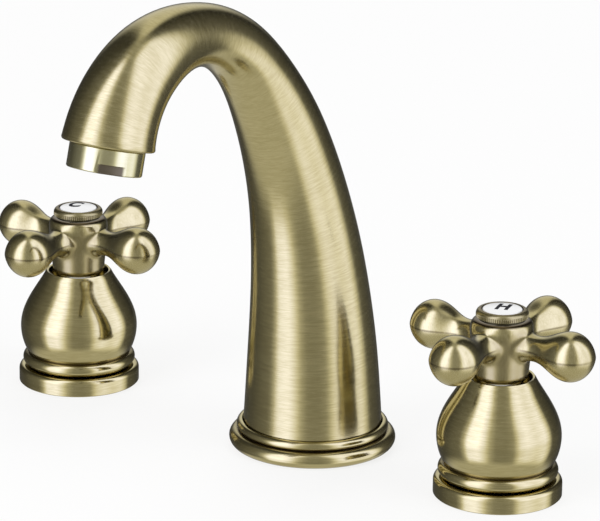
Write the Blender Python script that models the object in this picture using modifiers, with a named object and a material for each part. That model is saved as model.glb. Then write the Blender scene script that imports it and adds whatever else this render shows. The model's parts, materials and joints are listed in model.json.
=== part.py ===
# Three-hole basin mixer: a gooseneck spout between two pear-shaped quarter-turn valves.
# Metres, +Z up. The origin is on the spout's axis in the deck's top face. The spout points
# towards -Y, the cold valve stands at -X and the hot valve at +X.

import math

import bmesh
import bpy
from mathutils import Matrix, Vector

MM = 0.001

# Set-out on the deck
COLD_OFFSET = 117.3 * MM
HOT_OFFSET = 85.9 * MM
DECK_THICKNESS = 12.0 * MM

# Clearances
GAP = 0.3 * MM
OVERRUN = 1.0 * MM
MERGE = 0.005 * MM

# Facets round a full turn
WIDE_SIDES = 24
BODY_SIDES = 18
SMALL_SIDES = 12
FINE_SIDES = 10
SPLINE_TEETH = 12
NUT_SIDES = 6

# Pipe threads, as plain cylinders over the crests
HALF_INCH_RADIUS = 10.4 * MM
THREE_QUARTER_RADIUS = 13.2 * MM
THREE_EIGHTH_RADIUS = 8.3 * MM
THREAD_CHAMFER = 0.8 * MM

# Base flange under each valve
FLANGE_RADIUS = 23.9 * MM
FLANGE_HEIGHT = 6.8 * MM
FLANGE_EDGE = 1.9 * MM
FLANGE_EDGE_STEPS = 2
FLANGE_FOOT_CHAMFER = 0.3 * MM
SEAL_GROOVE_RADIUS = 21.6 * MM
SEAL_GROOVE_WIDTH = 5.6 * MM
SEAL_HEIGHT = 2.0 * MM

# Bell cover with the bead at its foot
BELL_TOP = 45.7 * MM
BELL_RIM_RADIUS = 12.9 * MM
BELL_BELLY_RADIUS = 23.1 * MM
BELL_BELLY_HEIGHT = 22.8 * MM
BELL_FOOT_CURVE = 21.0 * MM
BELL_GROOVE_HEIGHT = 12.9 * MM
BELL_WALL = 1.8 * MM
BELL_RIM_WALL = 1.0 * MM
BELL_WEB = 4.6 * MM
BEAD_RADIUS = 22.3 * MM
BEAD_SECTION = 2.6 * MM
BEAD_STEPS = 4
BELL_SHOULDER_STEPS = 6
BELL_FOOT_STEPS = 2
BELL_TAPER_SHARE = 1.2

# Valve body: threaded neck, barrel, inlet below and outlet at the side
NECK_TOP = 21.0 * MM
NECK_LENGTH = 51.0 * MM
BARREL_RADIUS = 15.5 * MM
BARREL_LENGTH = 32.0 * MM
BARREL_CHAMFER = 1.5 * MM
INLET_LENGTH = 16.0 * MM
INLET_BORE = 4.5 * MM
SEAT_DEPTH = 9.0 * MM
SEAT_TUBE_RADIUS = 7.3 * MM
CHAMBER_FLOOR = 8.0 * MM
OUTLET_LENGTH = 28.0 * MM
OUTLET_DROP = 18.0 * MM

# Headwork, the quarter-turn ceramic cartridge
SKIRT_RADIUS = 9.2 * MM
SKIRT_BORE = 7.6 * MM
SKIRT_LIFT = 3.0 * MM
COLLAR_LENGTH = 12.0 * MM
HEX_FLATS = 22.0 * MM
HEX_HEIGHT = 7.0 * MM
HEX_CHAMFER = 1.2 * MM
GLAND_RADIUS = 6.4 * MM
GLAND_HEIGHT = 12.7 * MM
GLAND_CHAMFER = 0.6 * MM
WINDOW_WIDTH = 6.0 * MM
WINDOW_HEIGHT = 2.4 * MM
HEADWORK_WASHER_THICKNESS = 1.0 * MM
HEADWORK_WASHER_RADIUS = 12.6 * MM
SEAT_SEAL_THICKNESS = 3.0 * MM
SEAT_SEAL_BORE = 4.9 * MM

# Ceramic discs, each with a butterfly pair of ports
DISC_RADIUS = 7.3 * MM
FIXED_DISC_THICKNESS = 2.8 * MM
MOVING_DISC_THICKNESS = 3.2 * MM
PORT_INNER_RADIUS = 1.8 * MM
PORT_OUTER_RADIUS = 5.6 * MM
PORT_ANGLE = 76.0
PORT_STEPS = 5
DRIVE_SLOT_DEPTH = 1.2 * MM

# Spindle and what holds it
SPINDLE_RADIUS = 3.9 * MM
DRIVE_BAR_LENGTH = 13.2 * MM
DRIVE_BAR_WIDTH = 5.0 * MM
DRIVE_BAR_HEIGHT = 3.0 * MM
RING_SEAL_SECTION = 1.6 * MM
RING_SEAL_DEPTH = 0.9 * MM
RING_SEAL_DROP = 6.0 * MM
CLIP_THICKNESS = 1.0 * MM
CLIP_RADIUS = 6.0 * MM
CLIP_GROOVE_DEPTH = 0.9 * MM
CLIP_MOUTH_ANGLE = 80.0
SPLINE_TOOTH = 0.45 * MM
SPLINE_LENGTH = 14.0 * MM

# Under-deck fixings
RUBBER_WASHER_THICKNESS = 3.0 * MM
STEEL_WASHER_THICKNESS = 1.5 * MM
VALVE_WASHER_RADIUS = 21.0 * MM
VALVE_NUT_FLATS = 36.0 * MM
SPOUT_WASHER_RADIUS = 19.0 * MM
SPOUT_NUT_FLATS = 30.0 * MM
NUT_HEIGHT = 6.0 * MM
NUT_CHAMFER = 1.6 * MM

# Cross handle: hub with four lobed arms
HUB_SINK = 0.9 * MM
HUB_LENGTH = 22.8 * MM
HUB_FOOT_RADIUS = 10.2 * MM
HUB_WAIST_RADIUS = 11.0 * MM
HUB_SHOULDER_RADIUS = 11.7 * MM
HUB_SHOULDER_DROP = 3.2 * MM
HUB_FOOT_ROUND = 1.6 * MM
HUB_FOOT_STEPS = 2
HUB_CROWN_STEPS = 3
HUB_SOCKET_RADIUS = 7.4 * MM
HUB_SOCKET_DEPTH = 5.7 * MM
HUB_WEB = 1.5 * MM
HUB_WEB_DROP = 6.8 * MM
SCREW_CHAMBER_RADIUS = 5.4 * MM
ARM_DROP = 8.4 * MM
ARM_ROOT = 9.2 * MM
ARM_ROOT_RADIUS = 5.6 * MM
ARM_NECK = 15.0 * MM
ARM_NECK_RADIUS = 4.3 * MM
LOBE_CENTRE = 30.0 * MM
LOBE_RADIUS = 9.3 * MM
ARM_COUNT = 4
ARM_NECK_STEPS = 2
ARM_FLARE_STEPS = 3
ARM_TIP_STEPS = 4

# Handle screw
SCREW_RADIUS = 2.0 * MM
SCREW_LENGTH = 10.0 * MM
SCREW_HEAD_RADIUS = 3.8 * MM
SCREW_HEAD_HEIGHT = 2.2 * MM
SCREW_HEAD_EDGE = 0.6 * MM
SCREW_SOCKET_RADIUS = 1.6 * MM
SCREW_SOCKET_DEPTH = 1.4 * MM

# Index ring and porcelain button on top of the handle
INDEX_RADIUS = 9.7 * MM
INDEX_HEIGHT = 3.5 * MM
INDEX_TOP_EDGE = 0.8 * MM
INDEX_FOOT_EDGE = 0.3 * MM
SPIGOT_RADIUS = 8.4 * MM
SPIGOT_LENGTH = 3.4 * MM
BUTTON_RADIUS = 7.3 * MM
BUTTON_THICKNESS = 1.4 * MM
BUTTON_DOME = 0.4 * MM
BUTTON_EDGE = 0.4 * MM
BUTTON_STEM_RADIUS = 6.0 * MM
BUTTON_STEM_LENGTH = 2.6 * MM

# Spout: centreline headings from upright and shares of the foot's radius, at equal steps of length
SPOUT_STRAIGHT_TOP = 7.0 * MM
SPOUT_LENGTH = 257.5 * MM
SPOUT_HEADINGS = (0.0, 3.0, 9.0, 17.6, 28.5, 44.4, 80.0, 120.0, 166.0)
SPOUT_FOOT_RADIUS = 26.6 * MM
SPOUT_TAPER = (1.0, 0.921, 0.812, 0.696, 0.594, 0.481, 0.432, 0.534, 0.624)
SPOUT_WALL = 3.2 * MM
SPOUT_RINGS = 19
SPOUT_FINE_STEPS = 8
SPOUT_FOOT_WEB = 12.0 * MM
SPOUT_BORE_RINGS = 13
SPOUT_LIP = 1.6 * MM
SPOUT_EDGE = 0.7 * MM

# Two-bead ring under the spout
RING_LEDGE = 4.0 * MM
RING_UPPER_CENTRE = 27.1 * MM
RING_UPPER_SECTION = 1.85 * MM
RING_LOWER_CENTRE = 28.7 * MM
RING_LOWER_HEIGHT = 2.9 * MM
RING_LOWER_SECTION = 3.1 * MM
RING_HEIGHT = 9.6 * MM
RING_BEAD_STEPS = 4
RING_SEAL_OUTER = 27.0 * MM
RING_SEAL_WIDTH = 9.0 * MM

# Spout shank and tee under the deck
SHANK_BORE = 7.0 * MM
SHANK_TOP = 15.0 * MM
TEE_RADIUS = 13.6 * MM
TEE_SOCKET_DEPTH = 10.0 * MM
TEE_BODY_LENGTH = 20.0 * MM
TEE_PORT_DROP = 10.0 * MM
TEE_HALF_SPAN = 30.0 * MM
TEE_CHAMFER = 2.0 * MM

# Connecting pipes from the valves to the tee, each with an olive and a nut at both ends
PIPE_RADIUS = 5.0 * MM
PIPE_WALL = 0.8 * MM
PIPE_INSERT = 8.0 * MM
OLIVE_RADIUS = 6.6 * MM
OLIVE_LENGTH = 3.6 * MM
OLIVE_TAPER = 1.0 * MM
PIPE_NUT_FLATS = 22.0 * MM
PIPE_NUT_GRIP = 6.0 * MM
PIPE_NUT_WEB = 2.2 * MM

# Aerator in the outlet
AERATOR_THREAD_RADIUS = 11.7 * MM
AERATOR_THREAD_LENGTH = 10.0 * MM
AERATOR_RADIUS = 13.4 * MM
AERATOR_LENGTH = 8.8 * MM
AERATOR_EDGE = 0.7 * MM
AERATOR_BORE = 10.2 * MM
AERATOR_LIP = 0.9 * MM
AERATOR_LIP_BORE = 9.2 * MM
AERATOR_FLAT_DEPTH = 1.4 * MM
AERATOR_FLAT_HEIGHT = 3.4 * MM
AERATOR_FLAT_ANGLE = -41.0
AERATOR_WASHER_THICKNESS = 2.0 * MM
AERATOR_WASHER_BORE = 8.6 * MM
SCREEN_THICKNESS = 1.2 * MM
SCREEN_HOLE = 2.6 * MM
SCREEN_PITCH = 3.8 * MM
SCREEN_ROWS = 3
INSERT_WALL = 1.4 * MM
INSERT_PLATE = 2.4 * MM
INSERT_HOLE_RADIUS = 1.1 * MM
INSERT_HOLE_RING = 5.2 * MM
INSERT_HOLES = 6

# Finishes: colour, roughness, metallic
FINISHES = {
    "antique_brass": ((0.28, 0.23, 0.11, 1.0), 0.32, 1.0),
    "polished_brass": ((0.40, 0.34, 0.18, 1.0), 0.18, 1.0),
    "raw_brass": ((0.58, 0.44, 0.18, 1.0), 0.40, 1.0),
    "copper": ((0.62, 0.30, 0.18, 1.0), 0.38, 1.0),
    "steel": ((0.55, 0.55, 0.54, 1.0), 0.35, 1.0),
    "rubber": ((0.03, 0.03, 0.03, 1.0), 0.80, 0.0),
    "fibre": ((0.42, 0.12, 0.08, 1.0), 0.75, 0.0),
    "ceramic": ((0.86, 0.85, 0.80, 1.0), 0.25, 0.0),
    "porcelain": ((0.90, 0.90, 0.89, 1.0), 0.12, 0.0),
    "plastic": ((0.80, 0.81, 0.80, 1.0), 0.45, 0.0),
}

# Heights worked out from the sizes above
BELL_FOOT = FLANGE_HEIGHT + GAP
SEAT_HEIGHT = -SEAT_DEPTH
FIXED_DISC_FOOT = SEAT_HEIGHT + GAP + SEAT_SEAL_THICKNESS + GAP
MOVING_DISC_FOOT = FIXED_DISC_FOOT + FIXED_DISC_THICKNESS + GAP
MOVING_DISC_TOP = MOVING_DISC_FOOT + MOVING_DISC_THICKNESS
DRIVE_BAR_FOOT = MOVING_DISC_TOP - DRIVE_SLOT_DEPTH + GAP
SKIRT_CEILING = DRIVE_BAR_FOOT + DRIVE_BAR_HEIGHT + GAP
SKIRT_FOOT = SEAT_HEIGHT + SKIRT_LIFT
HEX_FOOT = NECK_TOP + GAP + HEADWORK_WASHER_THICKNESS + GAP
HEX_TOP = HEX_FOOT + HEX_HEIGHT
GLAND_TOP = HEX_TOP + GLAND_HEIGHT
CLIP_FOOT = GLAND_TOP + GAP
SPINDLE_BORE = SPINDLE_RADIUS + GAP
THREE_QUARTER_BORE = THREE_QUARTER_RADIUS + GAP
HALF_INCH_BORE = HALF_INCH_RADIUS + GAP
SEAL_GROOVE_DEPTH = SEAL_HEIGHT + GAP
NECK_BOTTOM = NECK_TOP - NECK_LENGTH
BARREL_BOTTOM = NECK_BOTTOM - BARREL_LENGTH
INLET_BOTTOM = BARREL_BOTTOM - INLET_LENGTH
OUTLET_HEIGHT = NECK_BOTTOM - OUTLET_DROP
TEE_SOCKET_FLOOR = OUTLET_HEIGHT + TEE_PORT_DROP
SHANK_BOTTOM = TEE_SOCKET_FLOOR + GAP
PORT_BORE = PIPE_RADIUS + GAP
SPOUT_FOOT = RING_LEDGE + GAP
AERATOR_SEAT = AERATOR_THREAD_LENGTH + GAP + AERATOR_WASHER_THICKNESS + GAP
HUB_BOTTOM = BELL_TOP - HUB_SINK
HUB_TOP = HUB_BOTTOM + HUB_LENGTH
HUB_SHOULDER_HEIGHT = HUB_TOP - HUB_SHOULDER_DROP
HUB_WEB_TOP = HUB_TOP - HUB_WEB_DROP
ARM_HEIGHT = HUB_TOP - ARM_DROP
SPINDLE_TOP = HUB_WEB_TOP - HUB_WEB - GAP
SCREW_SEAT = HUB_WEB_TOP + GAP
SCREW_BORE = SCREW_RADIUS + GAP


def clear_scene():
    for obj in list(bpy.data.objects):
        bpy.data.objects.remove(obj, do_unlink=True)


def new_collection(name):
    collection = bpy.data.collections.new(name)
    bpy.context.scene.collection.children.link(collection)
    return collection


def arc(centre_r, centre_z, radius, start, end, steps):
    """Points of an arc in the radius-height plane, from start to end in degrees."""
    angles = [math.radians(start + (end - start) * i / steps) for i in range(steps + 1)]
    return [(centre_r + radius * math.cos(a), centre_z + radius * math.sin(a)) for a in angles]


def ring_outline(inner, outer, low, high):
    return [(inner, high), (outer, high), (outer, low), (inner, low)]


def turned(name, outline, sides, hollow=True):
    """Turn an outline of (radius, height) points round Z; it runs clockwise from the top."""
    points = [(r, 0.0, z) for r, z in outline]
    edges = [(i, i + 1) for i in range(len(points) - 1)]
    if hollow:
        edges.append((len(points) - 1, 0))
    mesh = bpy.data.meshes.new(name)
    mesh.from_pydata(points, edges, [])
    obj = bpy.data.objects.new(name, mesh)
    screw = obj.modifiers.new("turn", 'SCREW')
    screw.axis = 'Z'
    screw.angle = math.tau
    screw.steps = sides
    screw.render_steps = sides
    screw.use_merge_vertices = True
    screw.merge_threshold = MERGE
    return obj


def finish_mesh(name, bm):
    mesh = bpy.data.meshes.new(name)
    bm.to_mesh(mesh)
    bm.free()
    return bpy.data.objects.new(name, mesh)


def rod(name, radius, length, sides):
    """A cylinder standing on the origin along +Z."""
    bm = bmesh.new()
    lift = Matrix.Translation((0.0, 0.0, length / 2))
    bmesh.ops.create_cone(bm, cap_ends=True, segments=sides, radius1=radius, radius2=radius,
                          depth=length, matrix=lift)
    return finish_mesh(name, bm)


def block(name, size, centre):
    bm = bmesh.new()
    place = Matrix.Translation(centre) @ Matrix.Diagonal((*size, 1.0))
    bmesh.ops.create_cube(bm, size=1.0, matrix=place)
    return finish_mesh(name, bm)


def mesh_from_curve(name, curve):
    """The closed mesh of a filled curve, with its caps welded on."""
    source = bpy.data.objects.new(name, curve)
    bpy.context.scene.collection.objects.link(source)
    bpy.context.view_layer.update()
    graph = bpy.context.evaluated_depsgraph_get()
    mesh = bpy.data.meshes.new_from_object(source.evaluated_get(graph))
    bpy.data.objects.remove(source)
    bm = bmesh.new()
    bm.from_mesh(mesh)
    bmesh.ops.remove_doubles(bm, verts=bm.verts, dist=MERGE)
    bm.to_mesh(mesh)
    bm.free()
    mesh.name = name
    return bpy.data.objects.new(name, mesh)


def plate(name, outline, low, high):
    """A flat outline of (x, y) points made into a solid between two heights."""
    curve = bpy.data.curves.new(name, 'CURVE')
    curve.dimensions = '2D'
    curve.fill_mode = 'BOTH'
    curve.extrude = (high - low) / 2
    spline = curve.splines.new('POLY')
    spline.points.add(len(outline) - 1)
    for point, (x, y) in zip(spline.points, outline):
        point.co = (x, y, 0.0, 1.0)
    spline.use_cyclic_u = True
    obj = mesh_from_curve(name, curve)
    obj.data.transform(Matrix.Translation((0.0, 0.0, (high + low) / 2)))
    return obj


def polar(radius, degrees):
    return (radius * math.cos(math.radians(degrees)), radius * math.sin(math.radians(degrees)))


def spline_outline(tip_radius):
    """The toothed outline that drives the handle."""
    root_radius = tip_radius - SPLINE_TOOTH
    pitch = 360.0 / SPLINE_TEETH
    points = []
    for tooth in range(SPLINE_TEETH):
        points.append(polar(tip_radius, pitch * tooth))
        points.append(polar(root_radius, pitch * (tooth + 0.5)))
    return points


def sector_outline(inner, outer, middle, width, steps):
    """A sector of a ring, as wide in degrees as given, about its middle direction."""
    angles = [middle - width / 2 + width * i / steps for i in range(steps + 1)]
    return [polar(outer, a) for a in angles] + [polar(inner, a) for a in reversed(angles)]


class Workshop:
    """Puts pieces and cutting tools in their collections."""

    def __init__(self):
        self.parts = new_collection("basin_mixer_tap")
        self.tools = new_collection("cutters")

    def place(self, obj, finish, parent=None):
        self.parts.objects.link(obj)
        obj.parent = parent
        colour, roughness, metallic = FINISHES[finish]
        material = bpy.data.materials.new(obj.name)
        material.use_nodes = True
        shader = material.node_tree.nodes["Principled BSDF"]
        shader.inputs["Base Color"].default_value = colour
        shader.inputs["Roughness"].default_value = roughness
        shader.inputs["Metallic"].default_value = metallic
        material.diffuse_color = colour
        obj.data.materials.append(material)
        return obj

    def combine(self, obj, tool, operation):
        if tool.name not in self.tools.objects:
            self.tools.objects.link(tool)
            tool.hide_render = True
            tool.display_type = 'WIRE'
        step = obj.modifiers.new(operation.lower(), 'BOOLEAN')
        step.operation = operation
        step.solver = 'EXACT'
        step.object = tool

    def cut(self, obj, tool):
        self.combine(obj, tool, 'DIFFERENCE')

    def join(self, obj, tool):
        self.combine(obj, tool, 'UNION')


def hex_solid(name, flats, low, high):
    corner_radius = flats / 2 / math.cos(math.pi / NUT_SIDES)
    obj = rod(name, corner_radius, high - low, NUT_SIDES)
    obj.data.transform(Matrix.Translation((0.0, 0.0, low)))
    return obj


def hex_chamfer_outline(flats, low, high, chamfer):
    """The turned envelope that takes the corners off a hexagon."""
    corner_radius = flats / 2 / math.cos(math.pi / NUT_SIDES) + GAP
    face_radius = corner_radius - chamfer
    drop = chamfer * math.tan(math.radians(30.0))
    return [(0.0, high), (face_radius, high), (corner_radius, high - drop),
            (corner_radius, low + drop), (face_radius, low), (0.0, low)]


def hex_nut(shop, name, flats, bore, low, finish, parent=None):
    high = low + NUT_HEIGHT
    nut = hex_solid(name, flats, low, high)
    envelope = turned(name + "_envelope", hex_chamfer_outline(flats, low, high, NUT_CHAMFER),
                      BODY_SIDES, hollow=False)
    shop.combine(nut, envelope, 'INTERSECT')
    drill = rod(name + "_drill", bore, NUT_HEIGHT + 2 * OVERRUN, BODY_SIDES)
    drill.data.transform(Matrix.Translation((0.0, 0.0, low - OVERRUN)))
    shop.cut(nut, drill)
    shop.place(nut, finish, parent)
    for tool in (envelope, drill):
        tool.parent = parent


def under_deck_fixings(shop, prefix, thread_radius, washer_radius, nut_flats, parent=None):
    """Rubber washer, steel washer and lock nut that clamp a threaded shank to the deck."""
    bore = thread_radius + GAP
    rubber_top = -DECK_THICKNESS
    rubber_low = rubber_top - RUBBER_WASHER_THICKNESS
    steel_top = rubber_low - GAP
    steel_low = steel_top - STEEL_WASHER_THICKNESS
    rubber = turned(prefix + "rubber_washer", ring_outline(bore, washer_radius, rubber_low, rubber_top),
                    SMALL_SIDES)
    steel = turned(prefix + "steel_washer", ring_outline(bore, washer_radius, steel_low, steel_top),
                   SMALL_SIDES)
    shop.place(rubber, "rubber", parent)
    shop.place(steel, "steel", parent)
    nut_low = steel_low - GAP - NUT_HEIGHT
    hex_nut(shop, prefix + "lock_nut", nut_flats, bore, nut_low, "raw_brass", parent)


def base_flange(shop, prefix, parent):
    edge_centre = FLANGE_RADIUS - FLANGE_EDGE
    groove_inner = SEAL_GROOVE_RADIUS - SEAL_GROOVE_WIDTH - 2 * GAP
    outline = [(THREE_QUARTER_BORE, FLANGE_HEIGHT)]
    outline += arc(edge_centre, FLANGE_HEIGHT - FLANGE_EDGE, FLANGE_EDGE, 90.0, 0.0, FLANGE_EDGE_STEPS)
    outline += [(FLANGE_RADIUS, FLANGE_FOOT_CHAMFER), (FLANGE_RADIUS - FLANGE_FOOT_CHAMFER, 0.0),
                (SEAL_GROOVE_RADIUS, 0.0), (SEAL_GROOVE_RADIUS, SEAL_GROOVE_DEPTH),
                (groove_inner, SEAL_GROOVE_DEPTH), (groove_inner, 0.0), (THREE_QUARTER_BORE, 0.0)]
    shop.place(turned(prefix + "base_flange", outline, BODY_SIDES), "antique_brass", parent)
    seal = ring_outline(groove_inner + GAP, SEAL_GROOVE_RADIUS - GAP, 0.0, SEAL_HEIGHT)
    shop.place(turned(prefix + "flange_gasket", seal, BODY_SIDES), "rubber", parent)


def bell_radius(height):
    """Outer radius of the pear-shaped bell at a height."""
    rise = height - BELL_BELLY_HEIGHT
    if rise > 0.0:
        share = rise / (BELL_TOP - BELL_BELLY_HEIGHT)
        swell = math.cos(share * math.pi / 2) ** BELL_TAPER_SHARE if share < 1.0 else 0.0
        return BELL_RIM_RADIUS + (BELL_BELLY_RADIUS - BELL_RIM_RADIUS) * swell
    return BELL_BELLY_RADIUS - BELL_FOOT_CURVE + math.sqrt(BELL_FOOT_CURVE ** 2 - rise ** 2)


def bell_cover(shop, prefix, parent):
    shoulder = [BELL_TOP + (BELL_BELLY_HEIGHT - BELL_TOP) * i / BELL_SHOULDER_STEPS
                for i in range(BELL_SHOULDER_STEPS + 1)]
    foot = [BELL_BELLY_HEIGHT + (BELL_GROOVE_HEIGHT - BELL_BELLY_HEIGHT) * i / BELL_FOOT_STEPS
            for i in range(1, BELL_FOOT_STEPS + 1)]
    heights = shoulder + foot
    outer = [(bell_radius(z), z) for z in heights]
    bead_centre = BELL_FOOT + BEAD_SECTION
    bead = arc(BEAD_RADIUS - BEAD_SECTION, bead_centre, BEAD_SECTION, 75.0, -90.0, BEAD_STEPS)
    floor = BELL_FOOT + BELL_WEB
    floor_radius = bell_radius(BELL_GROOVE_HEIGHT) - BELL_WALL
    inner = [(THREE_QUARTER_BORE, BELL_FOOT), (THREE_QUARTER_BORE, floor), (floor_radius, floor)]
    inner += [(bell_radius(z) - BELL_WALL, z) for z in reversed(heights[2:-1:2])]
    inner.append((BELL_RIM_RADIUS - BELL_RIM_WALL, BELL_TOP))
    shop.place(turned(prefix + "bell_cover", outer + bead + inner, BODY_SIDES), "antique_brass", parent)


def valve_body(shop, prefix, parent, outlet_angle):
    """Coaxial body: water rises in the middle tube and leaves down the ring chamber."""
    chamber = HALF_INCH_BORE
    floor = BARREL_BOTTOM + CHAMBER_FLOOR
    outline = [
        (chamber, NECK_TOP), (THREE_QUARTER_RADIUS - THREAD_CHAMFER, NECK_TOP),
        (THREE_QUARTER_RADIUS, NECK_TOP - THREAD_CHAMFER), (THREE_QUARTER_RADIUS, NECK_BOTTOM),
        (BARREL_RADIUS, NECK_BOTTOM), (BARREL_RADIUS, BARREL_BOTTOM + BARREL_CHAMFER),
        (BARREL_RADIUS - BARREL_CHAMFER, BARREL_BOTTOM), (HALF_INCH_RADIUS, BARREL_BOTTOM),
        (HALF_INCH_RADIUS, INLET_BOTTOM + THREAD_CHAMFER),
        (HALF_INCH_RADIUS - THREAD_CHAMFER, INLET_BOTTOM), (INLET_BORE, INLET_BOTTOM),
        (INLET_BORE, SEAT_HEIGHT), (SEAT_TUBE_RADIUS, SEAT_HEIGHT), (SEAT_TUBE_RADIUS, floor),
        (chamber, floor)]
    body = turned(prefix + "valve_body", outline, SMALL_SIDES)
    wall_middle = (chamber + BARREL_RADIUS) / 2
    quarter_turn = Matrix.Rotation(math.pi / 2, 4, 'Y')
    port = rod(prefix + "outlet_port", THREE_EIGHTH_RADIUS, OUTLET_LENGTH - wall_middle, SMALL_SIDES)
    port.data.transform(Matrix.Translation((wall_middle, 0.0, OUTLET_HEIGHT)) @ quarter_turn)
    drill_start = (SEAT_TUBE_RADIUS + chamber) / 2
    drill = rod(prefix + "outlet_drill", PORT_BORE, OUTLET_LENGTH + OVERRUN - drill_start, SMALL_SIDES)
    drill.data.transform(Matrix.Translation((drill_start, 0.0, OUTLET_HEIGHT)) @ quarter_turn)
    shop.join(body, port)
    shop.cut(body, drill)
    shop.place(body, "raw_brass", parent)
    for obj in (body, port, drill):
        obj.parent = parent
        obj.rotation_euler = (0.0, 0.0, outlet_angle)


def headwork(shop, prefix, parent):
    """Cartridge body with its hexagon, the gland above and the skirt round the discs."""
    outline = [
        (SPINDLE_BORE, GLAND_TOP), (GLAND_RADIUS - GLAND_CHAMFER, GLAND_TOP),
        (GLAND_RADIUS, GLAND_TOP - GLAND_CHAMFER), (GLAND_RADIUS, HEX_FOOT + HEX_HEIGHT / 2),
        (HALF_INCH_RADIUS, HEX_FOOT + HEX_HEIGHT / 2), (HALF_INCH_RADIUS, HEX_FOOT - COLLAR_LENGTH),
        (SKIRT_RADIUS, HEX_FOOT - COLLAR_LENGTH), (SKIRT_RADIUS, SKIRT_FOOT), (SKIRT_BORE, SKIRT_FOOT),
        (SKIRT_BORE, SKIRT_CEILING), (SPINDLE_BORE, SKIRT_CEILING)]
    body = turned(prefix + "headwork", outline, SMALL_SIDES)
    hexagon = hex_solid(prefix + "headwork_hex", HEX_FLATS, HEX_FOOT, HEX_TOP)
    hex_outline = hex_chamfer_outline(HEX_FLATS, HEX_FOOT, HEX_TOP, HEX_CHAMFER)
    envelope = turned(prefix + "headwork_envelope", hex_outline, BODY_SIDES, hollow=False)
    shop.combine(hexagon, envelope, 'INTERSECT')
    bore_radius = (SPINDLE_BORE + GLAND_RADIUS) / 2
    bore = rod(prefix + "headwork_bore", bore_radius, HEX_HEIGHT + 2 * OVERRUN, FINE_SIDES)
    bore.data.transform(Matrix.Translation((0.0, 0.0, HEX_FOOT - OVERRUN)))
    shop.cut(hexagon, bore)
    window_foot = SKIRT_CEILING - GAP - WINDOW_HEIGHT
    window = block(prefix + "headwork_window", (4 * SKIRT_RADIUS, WINDOW_WIDTH, WINDOW_HEIGHT),
                   (0.0, 0.0, window_foot + WINDOW_HEIGHT / 2))
    shop.join(body, hexagon)
    shop.cut(body, window)
    shop.place(body, "raw_brass", parent)
    for tool in (hexagon, envelope, bore, window):
        tool.parent = parent
    washer = ring_outline(HALF_INCH_BORE, HEADWORK_WASHER_RADIUS, NECK_TOP + GAP, HEX_FOOT - GAP)
    shop.place(turned(prefix + "headwork_washer", washer, SMALL_SIDES), "fibre", parent)


def disc_ports(shop, disc, low, high, middle):
    """Cut the butterfly pair of ports, centred on the direction given in degrees."""
    for direction in (middle, middle + 180.0):
        outline = sector_outline(PORT_INNER_RADIUS, PORT_OUTER_RADIUS, direction, PORT_ANGLE, PORT_STEPS)
        port = plate(disc.name + "_port", outline, low - OVERRUN, high + OVERRUN)
        port.parent = disc.parent
        shop.cut(disc, port)


def ceramic_stack(shop, prefix, fixed_parent, moving_parent):
    seal_foot = SEAT_HEIGHT + GAP
    seal = ring_outline(SEAT_SEAL_BORE, DISC_RADIUS - GAP, seal_foot, seal_foot + SEAT_SEAL_THICKNESS)
    shop.place(turned(prefix + "seat_seal", seal, FINE_SIDES), "rubber", fixed_parent)
    fixed = rod(prefix + "fixed_disc", DISC_RADIUS, FIXED_DISC_THICKNESS, SMALL_SIDES)
    fixed.data.transform(Matrix.Translation((0.0, 0.0, FIXED_DISC_FOOT)))
    shop.place(fixed, "ceramic", fixed_parent)
    disc_ports(shop, fixed, FIXED_DISC_FOOT, FIXED_DISC_FOOT + FIXED_DISC_THICKNESS, 0.0)
    moving = rod(prefix + "moving_disc", DISC_RADIUS, MOVING_DISC_THICKNESS, SMALL_SIDES)
    moving.data.transform(Matrix.Translation((0.0, 0.0, MOVING_DISC_FOOT)))
    shop.place(moving, "ceramic", moving_parent)
    disc_ports(shop, moving, MOVING_DISC_FOOT, MOVING_DISC_TOP, 90.0)
    slot = block(prefix + "drive_slot", (4 * DISC_RADIUS, DRIVE_BAR_WIDTH + 2 * GAP, 2 * DRIVE_SLOT_DEPTH),
                 (0.0, 0.0, MOVING_DISC_TOP))
    slot.parent = moving_parent
    shop.cut(moving, slot)


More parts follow.
